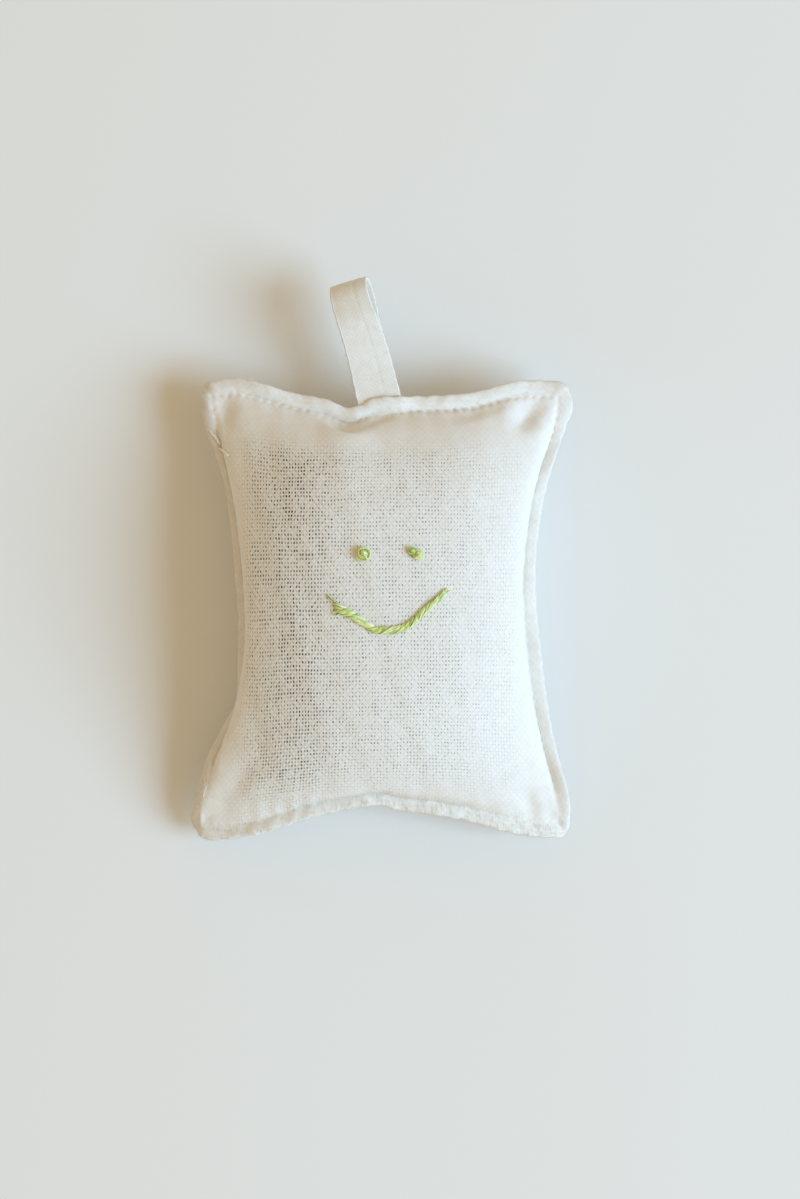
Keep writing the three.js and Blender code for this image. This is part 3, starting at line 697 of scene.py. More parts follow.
def linen_tone(tree, flat_map, number, open_and_shaded):
    """Share of the darker tone at each place: 0 for the light colour and 1 for the dark one."""
    # The flax is not quite one colour
    tone = add_node(tree, "ShaderNodeTexNoise", {"Vector": flat_map, "Scale": 1 / PATCH, "Detail": 5.0})
    tone = add_node(tree, "ShaderNodeMapRange", {0: tone, 1: 0.3, 2: 0.7, 3: 0.0, 4: PATCH_SHADE})
    # Painted shade: the thread that passes under lies a little in the other's shade
    which = add_node(tree, "ShaderNodeSeparateXYZ", {0: number})
    under = add_node(tree, "ShaderNodeMath", {0: which.outputs["X"], 1: which.outputs["Y"]}, operation="ADD")
    under = add_node(tree, "ShaderNodeMath", {0: under, 1: 2.0}, operation="FLOORED_MODULO")
    shaded = add_node(tree, "ShaderNodeMath", {0: open_and_shaded, 1: UNDER_SHADE - FLAT_SHADE, 2: FLAT_SHADE},
                      operation="MULTIPLY_ADD")
    tone = add_node(tree, "ShaderNodeMath", {0: under, 1: shaded, 2: tone}, operation="MULTIPLY_ADD")
    # Along the lower fold the cloth is brushed up into short white streaks
    frayed = add_node(tree, "ShaderNodeAttribute", attribute_name="fray").outputs["Fac"]
    frayed = add_node(tree, "ShaderNodeMapRange", {0: frayed, 1: 0.6, 2: 1.4, 3: 0.0, 4: 1.0})
    streaks = add_node(tree, "ShaderNodeMapping",
                       {"Vector": flat_map, "Scale": (1 / STREAK_WIDTH, 1 / STREAK_LENGTH, 1)})
    streaks = add_node(tree, "ShaderNodeTexNoise", {"Vector": streaks, "Scale": 1.0, "Detail": 3.0})
    streaks = add_node(tree, "ShaderNodeMapRange",
                       {0: streaks, 1: 0.36, 2: 0.58, 3: STREAK_DARK, 4: STREAK_LIGHT})
    tone = add_node(tree, "ShaderNodeMath", {0: streaks, 1: frayed, 2: tone}, operation="MULTIPLY_ADD",
                    use_clamp=True)
    # Four folded layers are a little creamier than one; on the side folds the darker tone is also painted
    # shade, most on the left and least on the right
    side_folds_and_shade = add_node(tree, "ShaderNodeAttribute", attribute_name="side_folds_and_shade").outputs["Fac"]
    return add_node(tree, "ShaderNodeMath", {0: side_folds_and_shade, 1: LAYERS_AND_SIDE_SHADE, 2: tone},
                    operation="MULTIPLY_ADD", use_clamp=True)


print("share of the darker tone in folded layers", LAYERS_AND_SIDE_SHADE)

# %% The linen's surface
GLOW_REACH = 7.0        # how far light spreads in the filling, in millimetres
FIBRES_IN_MM = 6.0      # loose fibres side by side, drawn coarser than real ones so that they show
FIBRE_RELIEF = 0.05     # how far they stand up, in millimetres


def woven_linen(name, colour, shade, pitches, hole_share, relief, glow):
    """Plain weave from a map in millimetres. The attribute open_and_shade says how far the weave opens and
    how strong its painted shade is.
    """
    material = bpy.data.materials.new(name)
    material.use_nodes = True
    tree = material.node_tree
    surface = tree.nodes["Principled BSDF"]
    flat_map = add_node(tree, "ShaderNodeUVMap", uv_map="pattern")
    open_and_shaded = add_node(tree, "ShaderNodeAttribute", attribute_name="open_and_shade").outputs["Fac"]
    bent, count, number, off = nearest_threads(tree, flat_map, pitches)
    half = half_widths(tree, bent, number, open_and_shaded, hole_share)
    hole = weave_holes(tree, count, off, half, open_and_shaded)
    tone = linen_tone(tree, flat_map, number, open_and_shaded)
    cloth = add_node(tree, "ShaderNodeMix", {0: tone, 6: linear(colour), 7: linear(shade)}, data_type="RGBA")
    # Painted shade: the holes show the dark inside the cloth
    seen = add_node(tree, "ShaderNodeMix", {0: hole, 6: cloth.outputs[2], 7: linear(HOLE_SHADE_COLOUR)},
                    data_type="RGBA")
    fibre = add_node(tree, "ShaderNodeTexNoise", {"Vector": flat_map, "Scale": FIBRES_IN_MM, "Detail": 4.0})
    bump = add_node(tree, "ShaderNodeBump",
                    {"Height": fibre, "Strength": relief, "Distance": FIBRE_RELIEF * MM})
    tree.links.new(seen.outputs[2], surface.inputs["Base Color"])
    tree.links.new(bump.outputs[0], surface.inputs["Normal"])
    surface.inputs["Roughness"].default_value = 0.88      # dry plant fibre scatters nearly all light
    surface.inputs["IOR"].default_value = 1.45
    surface.inputs["Specular IOR Level"].default_value = 0.25
    surface.inputs["Sheen Weight"].default_value = 0.05   # fibre ends that stand up from the yarn
    surface.inputs["Sheen Roughness"].default_value = 0.5
    surface.subsurface_method = "BURLEY"                  # light spreads in the white wadding behind
    surface.inputs["Subsurface Weight"].default_value = glow
    surface.inputs["Subsurface Radius"].default_value = (1.0, 0.85, 0.7)
    surface.inputs["Subsurface Scale"].default_value = GLOW_REACH * MM
    return material


body_linen = woven_linen("washed_linen", "#EFEFEC", "#DDDAD2", (WARP_PITCH, WEFT_PITCH), 0.155, 0.35, 0.1)
tape_linen = woven_linen("pressed_linen_tape", "#EFEFEB", "#DAD6CA", (0.50, 0.56), 0.06, 0.9, 0.0)
print("linen", len(body_linen.node_tree.nodes), "nodes")

# %% [markdown]
# ## The two panels
#
# Each panel is one closed piece of cloth: the fine outer face, the flange that stands out past the
# stitching, the folded edge, the underside of the flange, and the inner face of the cloth. The
# flange is two layers thick, because the allowance is turned in, so its section rises a little
# behind the stitching and rounds over at the fold. It is swept round the rim as a section, and it
# waves, because four layers of gathered linen never lie flat.
#
# The stitches press a narrow groove between the face and the flange. Along the bottom, brushed
# fibres fill it, so the crease nearly vanishes there.
# %% Measures of the panels
CLOTH = 0.5                      # thickness of one layer
LIFT, SEAM_LIFT = 0.75, 0.36     # of each outer face from the seam's middle: beside the stitches, under them
GROOVE = 0.55                    # how wide the stitches press the cloth down
BRUSHED_OVER = 0.9               # along the bottom, brushed fibres fill that groove
RIGHT_FLATTER = 0.14             # the right fold lies flatter than the others
EAR_LIFT, EAR_REACH = 0.5, 9.0   # the corners are puffy
EAR_HANG = {"top left": 0.7, "top right": 2.2, "bottom left": 2.0, "bottom right": 0.9}
LEFT_HANG = 1.0                  # the left fold lies in the shade, because it hangs
# Of the flange: share of its width, and height from the seam's middle
SECTION = [(0.16, 0.84), (0.40, 1.04), (0.72, 1.00), (0.92, 0.84), (1.00, 0.52), (0.95, 0.16),
           (0.60, 0.06), (0.20, 0.05), (0.00, 0.05)]
OUTER_ROWS, INNER_ROWS = 5, 2    # of the section: how many lie outside, and how many by the stitching inside
SWAY, SWAY_PITCH = 0.45, 19.0    # the flange sways up and down
WAVE, WAVE_PITCH = 0.06, 4.6     # its thickness varies by this share, and twice that along the bottom
EDGE_IN, EDGE_PITCH = 0.13, 3.9  # its folded edge goes in and out
EAR_PUFF = 0.3                   # it is thicker at the corners by this share
TAPE_WIDTH, TAPE_THICKNESS = 9.9, 0.66        # of the hanging loop, which the panels make room for
TAPE_ROOM = TAPE_THICKNESS + 0.10
LOOP_ROOT = np.array([-1.4, 49.9])
LOOP_LEAN = math.radians(14.5)
print("flange of", len(SECTION), "rows")

# %% Places along the rim
u_rim, v_rim = ring_order(u_fine), ring_order(v_fine)
rim_xy = ring_order(front_fine)[:, :2]
rim_z = ring_order(seam_height(u_fine, v_fine))
fold_xy = ring_of_sides(folded, fine_across, fine_up)
rim_pattern = ring_order(pattern)
rim_run = run_along(fold_xy)
is_bottom = smoothstep(0.80, 0.97, -v_rim) * (1 - smoothstep(0.9, 1.0, np.abs(u_rim)))
is_side = smoothstep(0.90, 1.0, np.abs(u_rim)) * (1 - 0.6 * smoothstep(0.8, 1.0, -v_rim))
is_left, is_right = smoothstep(0.97, 1.0, -u_rim), smoothstep(0.97, 1.0, u_rim)
from_tape = np.abs(fold_xy[:, 0] - LOOP_ROOT[0])
at_tape = 1 - smoothstep(TAPE_WIDTH / 2 - 0.2, TAPE_WIDTH / 2 + 4.6, from_tape)
at_tape = np.where(v_rim > 0.99, at_tape, 0)
print("round the folded edge", round(float(rim_run[-1])), "mm")

# %% The outer face
def opening_and_shade(fine):
    """1 where the cloth is stretched over the filling, 0 where it is gathered at the seam, and the painted
    shade follows it.
    """
    x = fine[..., 0]
    from_top = np.where(v_fine > 0, from_end, 50)
    from_bottom = np.where(v_fine < 0, from_end, 50)
    inwards = smoothstep(2, 11, from_side) * smoothstep(6, 16, from_top)
    inwards = inwards * (0.55 + 0.45 * smoothstep(2, 14, from_bottom))
    # Painted shade: the holes and the threads' shade are darkest to the left of the smile, and faintest at
    # the right, which faces the window
    painted_side_shade = 0.90 + 0.40 * np.exp(-((x + 21) / 9) ** 2) - 0.42 * smoothstep(8, 34, x)
    return inwards * painted_side_shade


def in_ear(xy, half_width, half_height):
    """1 at the corners and 0 elsewhere."""
    aside, away = half_width - np.abs(xy[..., 0]), half_height - np.abs(xy[..., 1])
    return np.exp(-(aside.clip(0) / EAR_REACH) ** 2 - (away.clip(0) / EAR_REACH) ** 2)


def outer_face(fine, face):
    """The cloth lifted off the seam's middle, puffed at the corners and pressed in by the stitches."""
    fine = fine.copy()
    pressed = (LIFT - SEAM_LIFT) * np.exp(-((from_rim / GROOVE) ** 2))
    if face == 0:
        ear = in_ear(pattern, PATTERN_WIDTH / 2, PATTERN_HEIGHT / 2)
        fine[..., 2] += LIFT + EAR_LIFT * ear * np.exp(-from_rim / 3)
        fine[..., 2] -= pressed * (1 - BRUSHED_OVER * smoothstep(0.80, 0.97, -v_fine))
    else:
        fine[..., 2] -= LIFT * np.exp(-from_rim / 6) - pressed
        fine[..., 2] = np.maximum(fine[..., 2], ABOVE_TABLE)
    return fine


print("groove", round(LIFT - SEAM_LIFT, 2), "mm deep")

# %% The flange
def flange_rows(face):
    """The section swept round the rim: rows of points, and rows of their places on the flat cloth."""
    side = (1, -1)[face]
    outward = fold_xy - rim_xy
    sway = SWAY * ripple(rim_run, SWAY_PITCH, 3)
    wave = 1 + WAVE * (1 + is_bottom) * ripple(rim_run, WAVE_PITCH, 5 + face)
    edge_in = EDGE_IN * ripple(rim_run, EDGE_PITCH, 8 + face) * (1 + 0.5 * is_bottom)
    longer = edge_in / np.linalg.norm(outward, axis=1)
    flatter = 1 - (RIGHT_FLATTER * is_right if face == 0 else 0)
    ear = in_ear(fold_xy, 43.0, 53.0)
    at_top, at_left = fold_xy[:, 1] > 0, fold_xy[:, 0] < 0
    ear_hang = np.select([at_top & at_left, at_top, at_left],
                         [EAR_HANG[k] for k in ("top left", "top right", "bottom left")],
                         EAR_HANG["bottom right"])
    left_hang = LEFT_HANG * is_left * (1 + 1.3 * smoothstep(8, 40, -fold_xy[:, 1]))
    rows, flat_rows = [], []
    for k, (share, height) in enumerate(SECTION):
        rise = height * (1 + EAR_PUFF * ear) * (wave * flatter if k < OUTER_ROWS else 1)
        rise = rise + at_tape * TAPE_ROOM * (0.25 + 0.75 * min(1, share * 2))
        if k >= len(SECTION) - INNER_ROWS:
            rise = height + at_tape * TAPE_ROOM * min(1.0, 0.25 + share)
        z = rim_z + sway * share - (ear_hang * ear + left_hang) * share + side * rise
        rows.append(np.column_stack([rim_xy + outward * (share * (1 + longer))[:, None], z]))
        flat_rows.append(rim_pattern + outward * (share if k < OUTER_ROWS else 2 - share))
    return rows, flat_rows


print("flange", round(float(np.linalg.norm(fold_xy - rim_xy, axis=1).mean()), 1), "mm wide on average")

# %% Faces of a panel
FACE_POINTS, RIM_POINTS = from_rim.size, len(rim_run)


def panel_faces(face):
    """Outer face, flange and inner face, and the triangles that join the coarse inner face to it."""
    index = np.arange(FACE_POINTS).reshape(from_rim.shape)
    rings = [ring_order(index)]
    rings += [FACE_POINTS + k * RIM_POINTS + np.arange(RIM_POINTS) for k in range(len(SECTION))]
    inner = FACE_POINTS + len(SECTION) * RIM_POINTS + np.arange(u_share.size).reshape(u_share.shape)
    quads = [quads_of(index)]
    quads += [np.stack([a, b, np.roll(b, -1), np.roll(a, -1)], -1) for a, b in zip(rings[:-1], rings[1:])]
    faces = np.concatenate([*quads, quads_of(inner.T)]).tolist()
    inner_ring = ring_order(inner).tolist()
    for k, (c, after) in enumerate(zip(inner_ring, inner_ring[1:] + inner_ring[:1])):
        f = [int(rings[-1][(FINER * k + s) % RIM_POINTS]) for s in range(FINER + 1)]
        faces += [(f[0], c, f[1]), (f[1], c, f[2]), (f[2], c, after)]
        faces += [(f[2], after, f[3]), (f[3], after, f[4])]
    return [tuple(reversed(corners)) for corners in faces] if face == 1 else faces


print("panel", len(panel_faces(0)), "faces")

# %% Where the cloth is open, folded and frayed
FACE_FRAY, FOLD_FRAY, BOTTOM_FRAY = 0.02, 0.55, 1.3     # on the front, at the fold, and more at the bottom
FRINGE_SHARE, FRINGE_REACH = 1.05, 1.4                  # of the brushed cloth just above the bottom fold
FRINGE_PITCH = 3.1                                      # it comes in tufts


def fray_shares(face, count):
    """How much each point frays: the outside of the flange, the brushed cloth above it, a little else."""
    shares = np.full(count, FACE_FRAY * (1 - face))
    brushed = FRINGE_SHARE * smoothstep(0.80, 0.97, -v_fine) * np.exp(-from_end / FRINGE_REACH)
    tufts = 1 + 0.5 * ripple(pattern[..., 0], FRINGE_PITCH, 71)
    brushed *= (1 - smoothstep(0.85, 1.0, np.abs(u_fine))) * tufts
    shares[:FACE_POINTS] += brushed.clip(0).ravel()
    outside = FACE_POINTS + OUTER_ROWS * RIM_POINTS
    shares[FACE_POINTS:outside] = np.tile(FOLD_FRAY + BOTTOM_FRAY * is_bottom, OUTER_ROWS)
    shares[outside:] = 0
    return shares


def paint_panel(piece, fine, face):
    """The three attributes that the linen and the stray fibres read."""
    weave, side_folds_and_shade = np.zeros((2, len(piece.data.vertices)))
    weave[:FACE_POINTS] = opening_and_shade(fine).ravel()
    flange = FACE_POINTS + len(SECTION) * RIM_POINTS
    # The side folds get a darker, creamier tone: partly the folded layers, partly painted shade, most on the
    # left
    side_folds_and_shade[FACE_POINTS:flange] = np.tile(is_side * (1 - 0.75 * is_right), len(SECTION))
    paint(piece, "open_and_shade", weave)
    paint(piece, "side_folds_and_shade", side_folds_and_shade)
    paint(piece, "fray", fray_shares(face, len(weave)))


print("weave opening up to", round(float(opening_and_shade(front_fine).max()), 2))

# %% Both panels
def panel(name, fine, face, node):
    """One closed panel. face is 0 for the front and 1 for the back."""
    outer = outer_face(fine, face)
    rows, flat_rows = flange_rows(face)
    inner = outer[::FINER, ::FINER] - normals_of(outer, (1, -1)[face])[::FINER, ::FINER] * CLOTH
    points = np.concatenate([outer.reshape(-1, 3), *rows, inner.reshape(-1, 3)])
    on_cloth = [pattern.reshape(-1, 2), *flat_rows, pattern[::FINER, ::FINER].reshape(-1, 2)]
    piece = new_piece(name, points, panel_faces(face), np.concatenate(on_cloth))
    piece.data.materials.append(body_linen)
    paint_panel(piece, outer, face)
    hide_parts(node)
    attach(piece, "sachet")
    print(name, len(piece.data.vertices), "points")
    return piece


front_panel = panel("front_linen", front_fine, 0, "front_panel")
back_panel = panel("back_linen", back_fine, 1, "back_panel")

# %% [markdown]
# ## Growing things with Geometry Nodes
#
# Threads, stitches, buds and stray fibres repeat hundreds of times, so each kind is one small node
# tree with named inputs. The helpers below put a tree on a source mesh, set its inputs by their
# sockets' identifiers, and keep the result as a plain mesh.
# %% Begin a tree, and keep what it grows
def begin_tree(name, **inputs):
    """A geometry tree with one geometry in, one out, and an input socket of each kind named."""
    tree = bpy.data.node_groups.new(name, "GeometryNodeTree")
    tree.interface.new_socket(name="Geometry", in_out="INPUT", socket_type="NodeSocketGeometry")
    tree.interface.new_socket(name="Geometry", in_out="OUTPUT", socket_type="NodeSocketGeometry")
    for label, kind in inputs.items():
        tree.interface.new_socket(name=label, in_out="INPUT", socket_type="NodeSocket" + kind)
    return tree, add_node(tree, "NodeGroupInput").outputs, add_node(tree, "NodeGroupOutput")


def grown(name, source, tree, **values):
    """The tree's result on the source, as a plain mesh piece. The source goes."""
    modifier = source.modifiers.new("grow", "NODES")
    modifier.node_group = tree
    for item in tree.interface.items_tree:
        if item.in_out == "INPUT" and item.name in values:
            modifier[item.identifier] = values[item.name]
    mesh = bpy.data.meshes.new_from_object(source.evaluated_get(bpy.context.evaluated_depsgraph_get()))
    mesh.name = name
    piece = bpy.data.objects.new(name, mesh)
    bpy.context.scene.collection.objects.link(piece)
    bpy.data.objects.remove(source)
    print(name, len(mesh.polygons), "faces")
    return piece


print("the front carries", [name for name in ("open_and_shade", "fray") if name in front_panel.data.attributes])

# %% [markdown]
# ## Strands
#
# Embroidery floss is six fine strands laid side by side, and it shines a little, because the
# cotton is mercerised. Each strand is a line of points here, and the tree sweeps a small circle
# along all of them at once. A tone is kept with each strand, so the material can vary the green
# from strand to strand as dye and light do.
# %% Strand tree
strand_tree, given, result = begin_tree("strands", Radius="Float", Sides="Int", Finish="Material")
as_curve = add_node(strand_tree, "GeometryNodeMeshToCurve", {0: given["Geometry"]})
circle = add_node(strand_tree, "GeometryNodeCurvePrimitiveCircle",
                  {"Resolution": given["Sides"], "Radius": given["Radius"]})
swept = add_node(strand_tree, "GeometryNodeCurveToMesh",
                 {"Curve": as_curve, "Profile Curve": circle, "Fill Caps": True})
real = add_node(strand_tree, "GeometryNodeRealizeInstances", {0: swept})
smooth = add_node(strand_tree, "GeometryNodeSetShadeSmooth", {0: real})
finished = add_node(strand_tree, "GeometryNodeSetMaterial", {0: smooth, "Material": given["Finish"]})
strand_tree.links.new(finished.outputs[0], result.inputs[0])
print("strand tree", len(strand_tree.nodes), "nodes")

# %% Lines to strands
STRAND, STRAND_SIDES = 0.16, 7          # radius of one strand of floss, and sides of its circle


def strands_piece(name, lines, tones, finish, node):
    """Many strands as one finished piece. lines are lists of points in millimetres."""
    points = np.concatenate(lines)
    starts = np.cumsum([0] + [len(line) for line in lines[:-1]])
    edges = [(int(s) + k, int(s) + k + 1) for s, line in zip(starts, lines) for k in range(len(line) - 1)]
    source = new_piece(name + "_lines", points, [], edges=edges)
    paint(source, "tone", np.repeat(tones, [len(line) for line in lines]))
    piece = grown(name, source, strand_tree, Radius=STRAND * MM, Sides=STRAND_SIDES, Finish=finish)
    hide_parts(node)
    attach(piece, "sachet")


print("a strand is", 2 * STRAND, "mm thick")

# %% Cotton thread
FIBRES_IN_THREAD = 5.2          # in a millimetre, drawn coarser than real ones so that they show
THREAD_RELIEF = 0.05            # how far they stand up, in millimetres


def spun_thread(name, light, middle, dark, roughness, sheen):
    """Spun and mercerised cotton: three tones between strands, fine fibres along them."""
    material = bpy.data.materials.new(name)
    material.use_nodes = True
    tree = material.node_tree
    surface = tree.nodes["Principled BSDF"]
    tone = add_node(tree, "ShaderNodeAttribute", attribute_name="tone").outputs["Fac"]
    place = add_node(tree, "ShaderNodeTexCoord").outputs["Object"]
    fibres = add_node(tree, "ShaderNodeTexNoise",
                      {"Vector": place, "Scale": FIBRES_IN_THREAD / MM, "Detail": 2.0})
    mottled = add_node(tree, "ShaderNodeMath", {0: fibres, 1: 0.5, 2: tone}, operation="MULTIPLY_ADD")
    shifted = add_node(tree, "ShaderNodeMath", {0: mottled, 1: 0.25}, operation="SUBTRACT")
    ramp = add_node(tree, "ShaderNodeValToRGB", {0: shifted})
    ramp.color_ramp.elements[0].color = linear(dark)
    ramp.color_ramp.elements[1].color = linear(light)
    ramp.color_ramp.elements.new(0.5).color = linear(middle)
    bump = add_node(tree, "ShaderNodeBump",
                    {"Height": fibres, "Strength": 0.5, "Distance": THREAD_RELIEF * MM})
    tree.links.new(ramp.outputs[0], surface.inputs["Base Color"])
    tree.links.new(bump.outputs[0], surface.inputs["Normal"])
    surface.inputs["Roughness"].default_value = roughness
    surface.inputs["IOR"].default_value = 1.53
    surface.inputs["Sheen Weight"].default_value = sheen
    return material


floss_finish = spun_thread("green_cotton_floss", "#F3F8CE", "#D6E68E", "#8CB245", 0.5, 0.15)
sewing_finish = spun_thread("cream_sewing_cotton", "#F3F1EA", "#ECE8DD", "#E2DCCD", 0.7, 0.2)
print("finishes", floss_finish.name, "and", sewing_finish.name)

# %% Find the front's surface
ABOVE_ALL = 0.1         # in metres, higher than the sachet
front_bvh = BVHTree.FromObject(front_panel, bpy.context.evaluated_depsgraph_get())


def on_front(x, y):
    """The point of the front's surface at x and y, and the way out of the cloth, in millimetres."""
    hit, normal, _, _ = front_bvh.ray_cast(Vector((x * MM, y * MM, ABOVE_ALL)), Vector((0, 0, -1)))
    return np.array(hit) / MM, np.array(normal)


def above_front(x, y, height):
    """The point this far off the front's surface."""
    base, out = on_front(x, y)
    return base + out * height


print("middle of the front", np.round(on_front(0, 0)[0], 2))

# %% [markdown]
# ## The smile
#
# The smile is worked in stem stitch: the thread comes up below the line, leans along it, goes down
# above it, and the next stitch starts beside the middle of the last, so the row looks like a rope.
# This one is handmade. It starts with a thin stitch of two strands, has a thick place that was
# gone over twice, and grows slim towards its end. So the row's width is given along it, and each
# stitch leans across that width with its strands side by side.
# %% Line and width of the row
SMILE = [(-13.47, 4.34), (-10.86, 2.0), (-9.36, 0.32), (-6.48, -1.27), (-4.95, -2.4), (-2.21, -4.0),
         (0.0, -4.11), (3.3, -3.93), (6.02, -2.63), (8.3, -0.47), (11.02, 2.0), (12.96, 3.64), (14.07, 4.49)]
smile_line = smooth_line(SMILE, 240)
smile_run = run_along(smile_line)
smile_length = smile_run[-1]

# Half the row's width along it: a thin start, a thick place that was gone over twice, a slim end
ROW_ALONG = [0, 3.0, 4.4, 7.4, 9.6, 22.0, 26.0, 32.0]
ROW_HALF = [0.06, 0.12, 0.80, 0.80, 0.58, 0.60, 0.46, 0.40]


def beside_smile(along, aside):
    """The point this far along the smile, and this far above its line."""
    x = np.interp(along, smile_run, smile_line[:, 0])
    y = np.interp(along, smile_run, smile_line[:, 1])
    ahead = np.array([np.interp(along + 0.3, smile_run, smile_line[:, i]) for i in (0, 1)])
    back = np.array([np.interp(along - 0.3, smile_run, smile_line[:, i]) for i in (0, 1)])
    tangent = (ahead - back) / max(1e-6, np.linalg.norm(ahead - back))
    return x - tangent[1] * aside, y + tangent[0] * aside


print("smile", round(float(smile_length), 1), "mm along")

# %% One stitch
STITCH_STEP, STITCH_LENGTH = 1.3, 2.7
DIVE = -0.45            # height of a strand's end, inside the cloth
SIDE_BY_SIDE = 1.55     # distance of neighbouring strands, in radii
HAND_SLIP = 0.35        # how much too early or late a strand dives, as sewn by hand


def stitch_strands(start, length, count, lean, crown, tone, draw):
    """The strands of one stitch, side by side, each diving into the cloth at both ends."""
    lines, tones = [], []
    for k in range(count):
        spread = (k - (count - 1) / 2) * STRAND * SIDE_BY_SIDE + draw.normal(0, 0.07)
        layer = STRAND * (1.0 if k % 2 else 0.1) + draw.uniform(0, 0.2)
        early, late = draw.uniform(-HAND_SLIP, HAND_SLIP, 2)
        line = []
        for t in np.linspace(0, 1, 13):
            swell = math.sin(math.pi * t)
            open_out = 0.32 + 0.68 * swell**0.6
            along = start + early + (length + late - early) * t
            x, y = beside_smile(along, lean * (2 * t - 1) + spread * open_out)
            height = STRAND + layer * swell**0.5 + crown * swell**0.8
            line.append(above_front(x, y, DIVE if t in (0.0, 1.0) else height))
        lines.append(np.array(line))
        tones.append(tone + draw.normal(0, 0.22))
    return lines, tones


print("stitches", int((smile_length - STITCH_LENGTH) / STITCH_STEP), "or so")

# %% Work the smile
THICK_FROM = 3.2        # where the full stitches start, after the thin one
SLIM_FROM = 26          # from here on one strand less

draw = np.random.default_rng(42)
mouth_lines, mouth_tones = stitch_strands(0.0, 4.4, 2, 0.06, 0.15, 0.45, draw)
for start in np.arange(THICK_FROM, smile_length - STITCH_LENGTH + 0.6, STITCH_STEP):
    lean = np.interp(start + STITCH_LENGTH / 2, ROW_ALONG, ROW_HALF)
    crown = 0.35 + 0.35 * smoothstep(0.62, 0.80, lean)
    strands = 4 if start > SLIM_FROM else 5
    lines, tones = stitch_strands(start, STITCH_LENGTH, strands, lean, crown, draw.uniform(0.4, 0.85), draw)
    mouth_lines += lines
    mouth_tones += tones

# The end is a small tuft, where the strands go down a little apart
TUFT_X, TUFT_Y = 13.4, 4.0
for x, y in ((13.3, 5.3), (14.2, 5.6), (14.9, 4.9)):
    top = above_front(TUFT_X + 0.6 * (x - TUFT_X), TUFT_Y + 0.6 * (y - TUFT_Y), 0.6)
    mouth_lines.append(np.array([above_front(TUFT_X, TUFT_Y, 0.2), top, above_front(x, y, 0.0)]))
    mouth_tones.append(draw.uniform(0.4, 0.8))

# A fine loop of one strand has slipped out below the thick place: x, y and height above the cloth
SLIP = [(-11.2, 0.4, 0), (-11.6, 0.1, 0.3), (-11.7, -0.4, 0.4), (-11.3, -0.8, 0.4), (-10.8, -0.7, 0.3),
        (-10.5, -0.3, 0)]
mouth_lines.append(np.array([above_front(*place) for place in SLIP]))
mouth_tones.append(0.35)
mouth_tones = np.clip(mouth_tones, 0, 1)
strands_piece("smile_stitches", mouth_lines, mouth_tones, floss_finish, "mouth_floss")

# %% [markdown]
# ## The eyes
#
# Each eye is a French knot: the floss comes up through the cloth, is wound round the needle, and
# goes down through the middle of its own coil. The strands are laid round a coil that climbs as it
# turns, each at its own place in the bundle, and in the end they cross over the top. The right
# eye slipped while it was pulled tight, so a small first lobe stands out at its upper left.
# %% Strands of a knot
WOUND = 0.62            # share of the strand that is wound, before it crosses over the top
FLOSS_STRANDS = 6
STEPS_IN_TURN = 18


def knot_strands(middle, radius, turns, climb, start_angle, spread, tone, draw):
    """The strands of one coil. climb is how far it rises in a turn, spread how thick its bundle is."""
    base, out = on_front(*middle)
    right = np.cross([0, 1, 0], out)
    right /= np.linalg.norm(right)
    above = np.cross(out, right)
    lines, tones = [], []
    steps = int(turns * STEPS_IN_TURN)
    for k in range(FLOSS_STRANDS):
        phase = 2 * np.pi * k / FLOSS_STRANDS
        loose, askew = draw.uniform(0.7, 1.35), draw.normal(0, 0.6)
        line = []
        for t in np.arange(steps + 1) / steps:
            crossing = smoothstep(WOUND, 1.0, t)       # once wound, the strand crosses the top and dives
            turned = turns * min(t, WOUND)
            angle = start_angle + askew + 2 * np.pi * turned
            roll = phase + 2.2 * t * turns
            coil = radius * loose * (1 - 1.9 * crossing) + spread * math.cos(roll) * (1 - crossing)
            over = spread * (k - (FLOSS_STRANDS - 1) / 2) * 0.5 * crossing
            height = STRAND + spread * 0.9 + climb * turned + spread * math.sin(roll) * (1 - crossing)
            height += radius * 0.75 * math.sin(math.pi * crossing)
            across_way = right * math.cos(angle) + above * math.sin(angle)
            aside_way = above * math.cos(angle) - right * math.sin(angle)
            line.append(base + across_way * coil + aside_way * over + out * height)
        down_first, down_last = out * (0.6 + spread), out * 1.3
        lines.append(np.array([line[0] - down_first, *line, line[-1] - down_last]))
        tones.append(tone + 0.12 + draw.normal(0, 0.20))
    return lines, tones


print("strands in the floss", FLOSS_STRANDS)

# %% Both eyes
# Coils of each eye: middle, radius, turns, climb in a turn, first angle, thickness, tone
LEFT_COILS = [((-4.8, 13.3), 1.0, 2.3, 0.36, 2.6, 0.42, 0.62),
              ((-4.7, 13.2), 0.42, 1.8, 0.55, 0.4, 0.36, 0.55),
              ((-4.8, 13.2), 0.12, 1.2, 0.95, 1.0, 0.30, 0.7)]
RIGHT_COILS = [((7.75, 12.95), 0.80, 2.1, 0.36, 2.2, 0.38, 0.60),
               ((7.8, 12.9), 0.34, 1.6, 0.50, 0.6, 0.30, 0.58),
               ((6.2, 13.9), 0.52, 1.5, 0.30, 2.4, 0.32, 0.42)]


def eye(name, coils, node):
    """One French knot, from its coils."""
    draw = np.random.default_rng(len(name) * 7)
    lines, tones = [], []
    for coil in coils:
        coil_lines, coil_tones = knot_strands(*coil, draw)
        lines += coil_lines
        tones += coil_tones
    strands_piece(name, lines, np.clip(tones, 0, 1), floss_finish, node)


eye("left_eye_stitches", LEFT_COILS, "left_eye_knot")
eye("right_eye_stitches", RIGHT_COILS, "right_eye_knot")

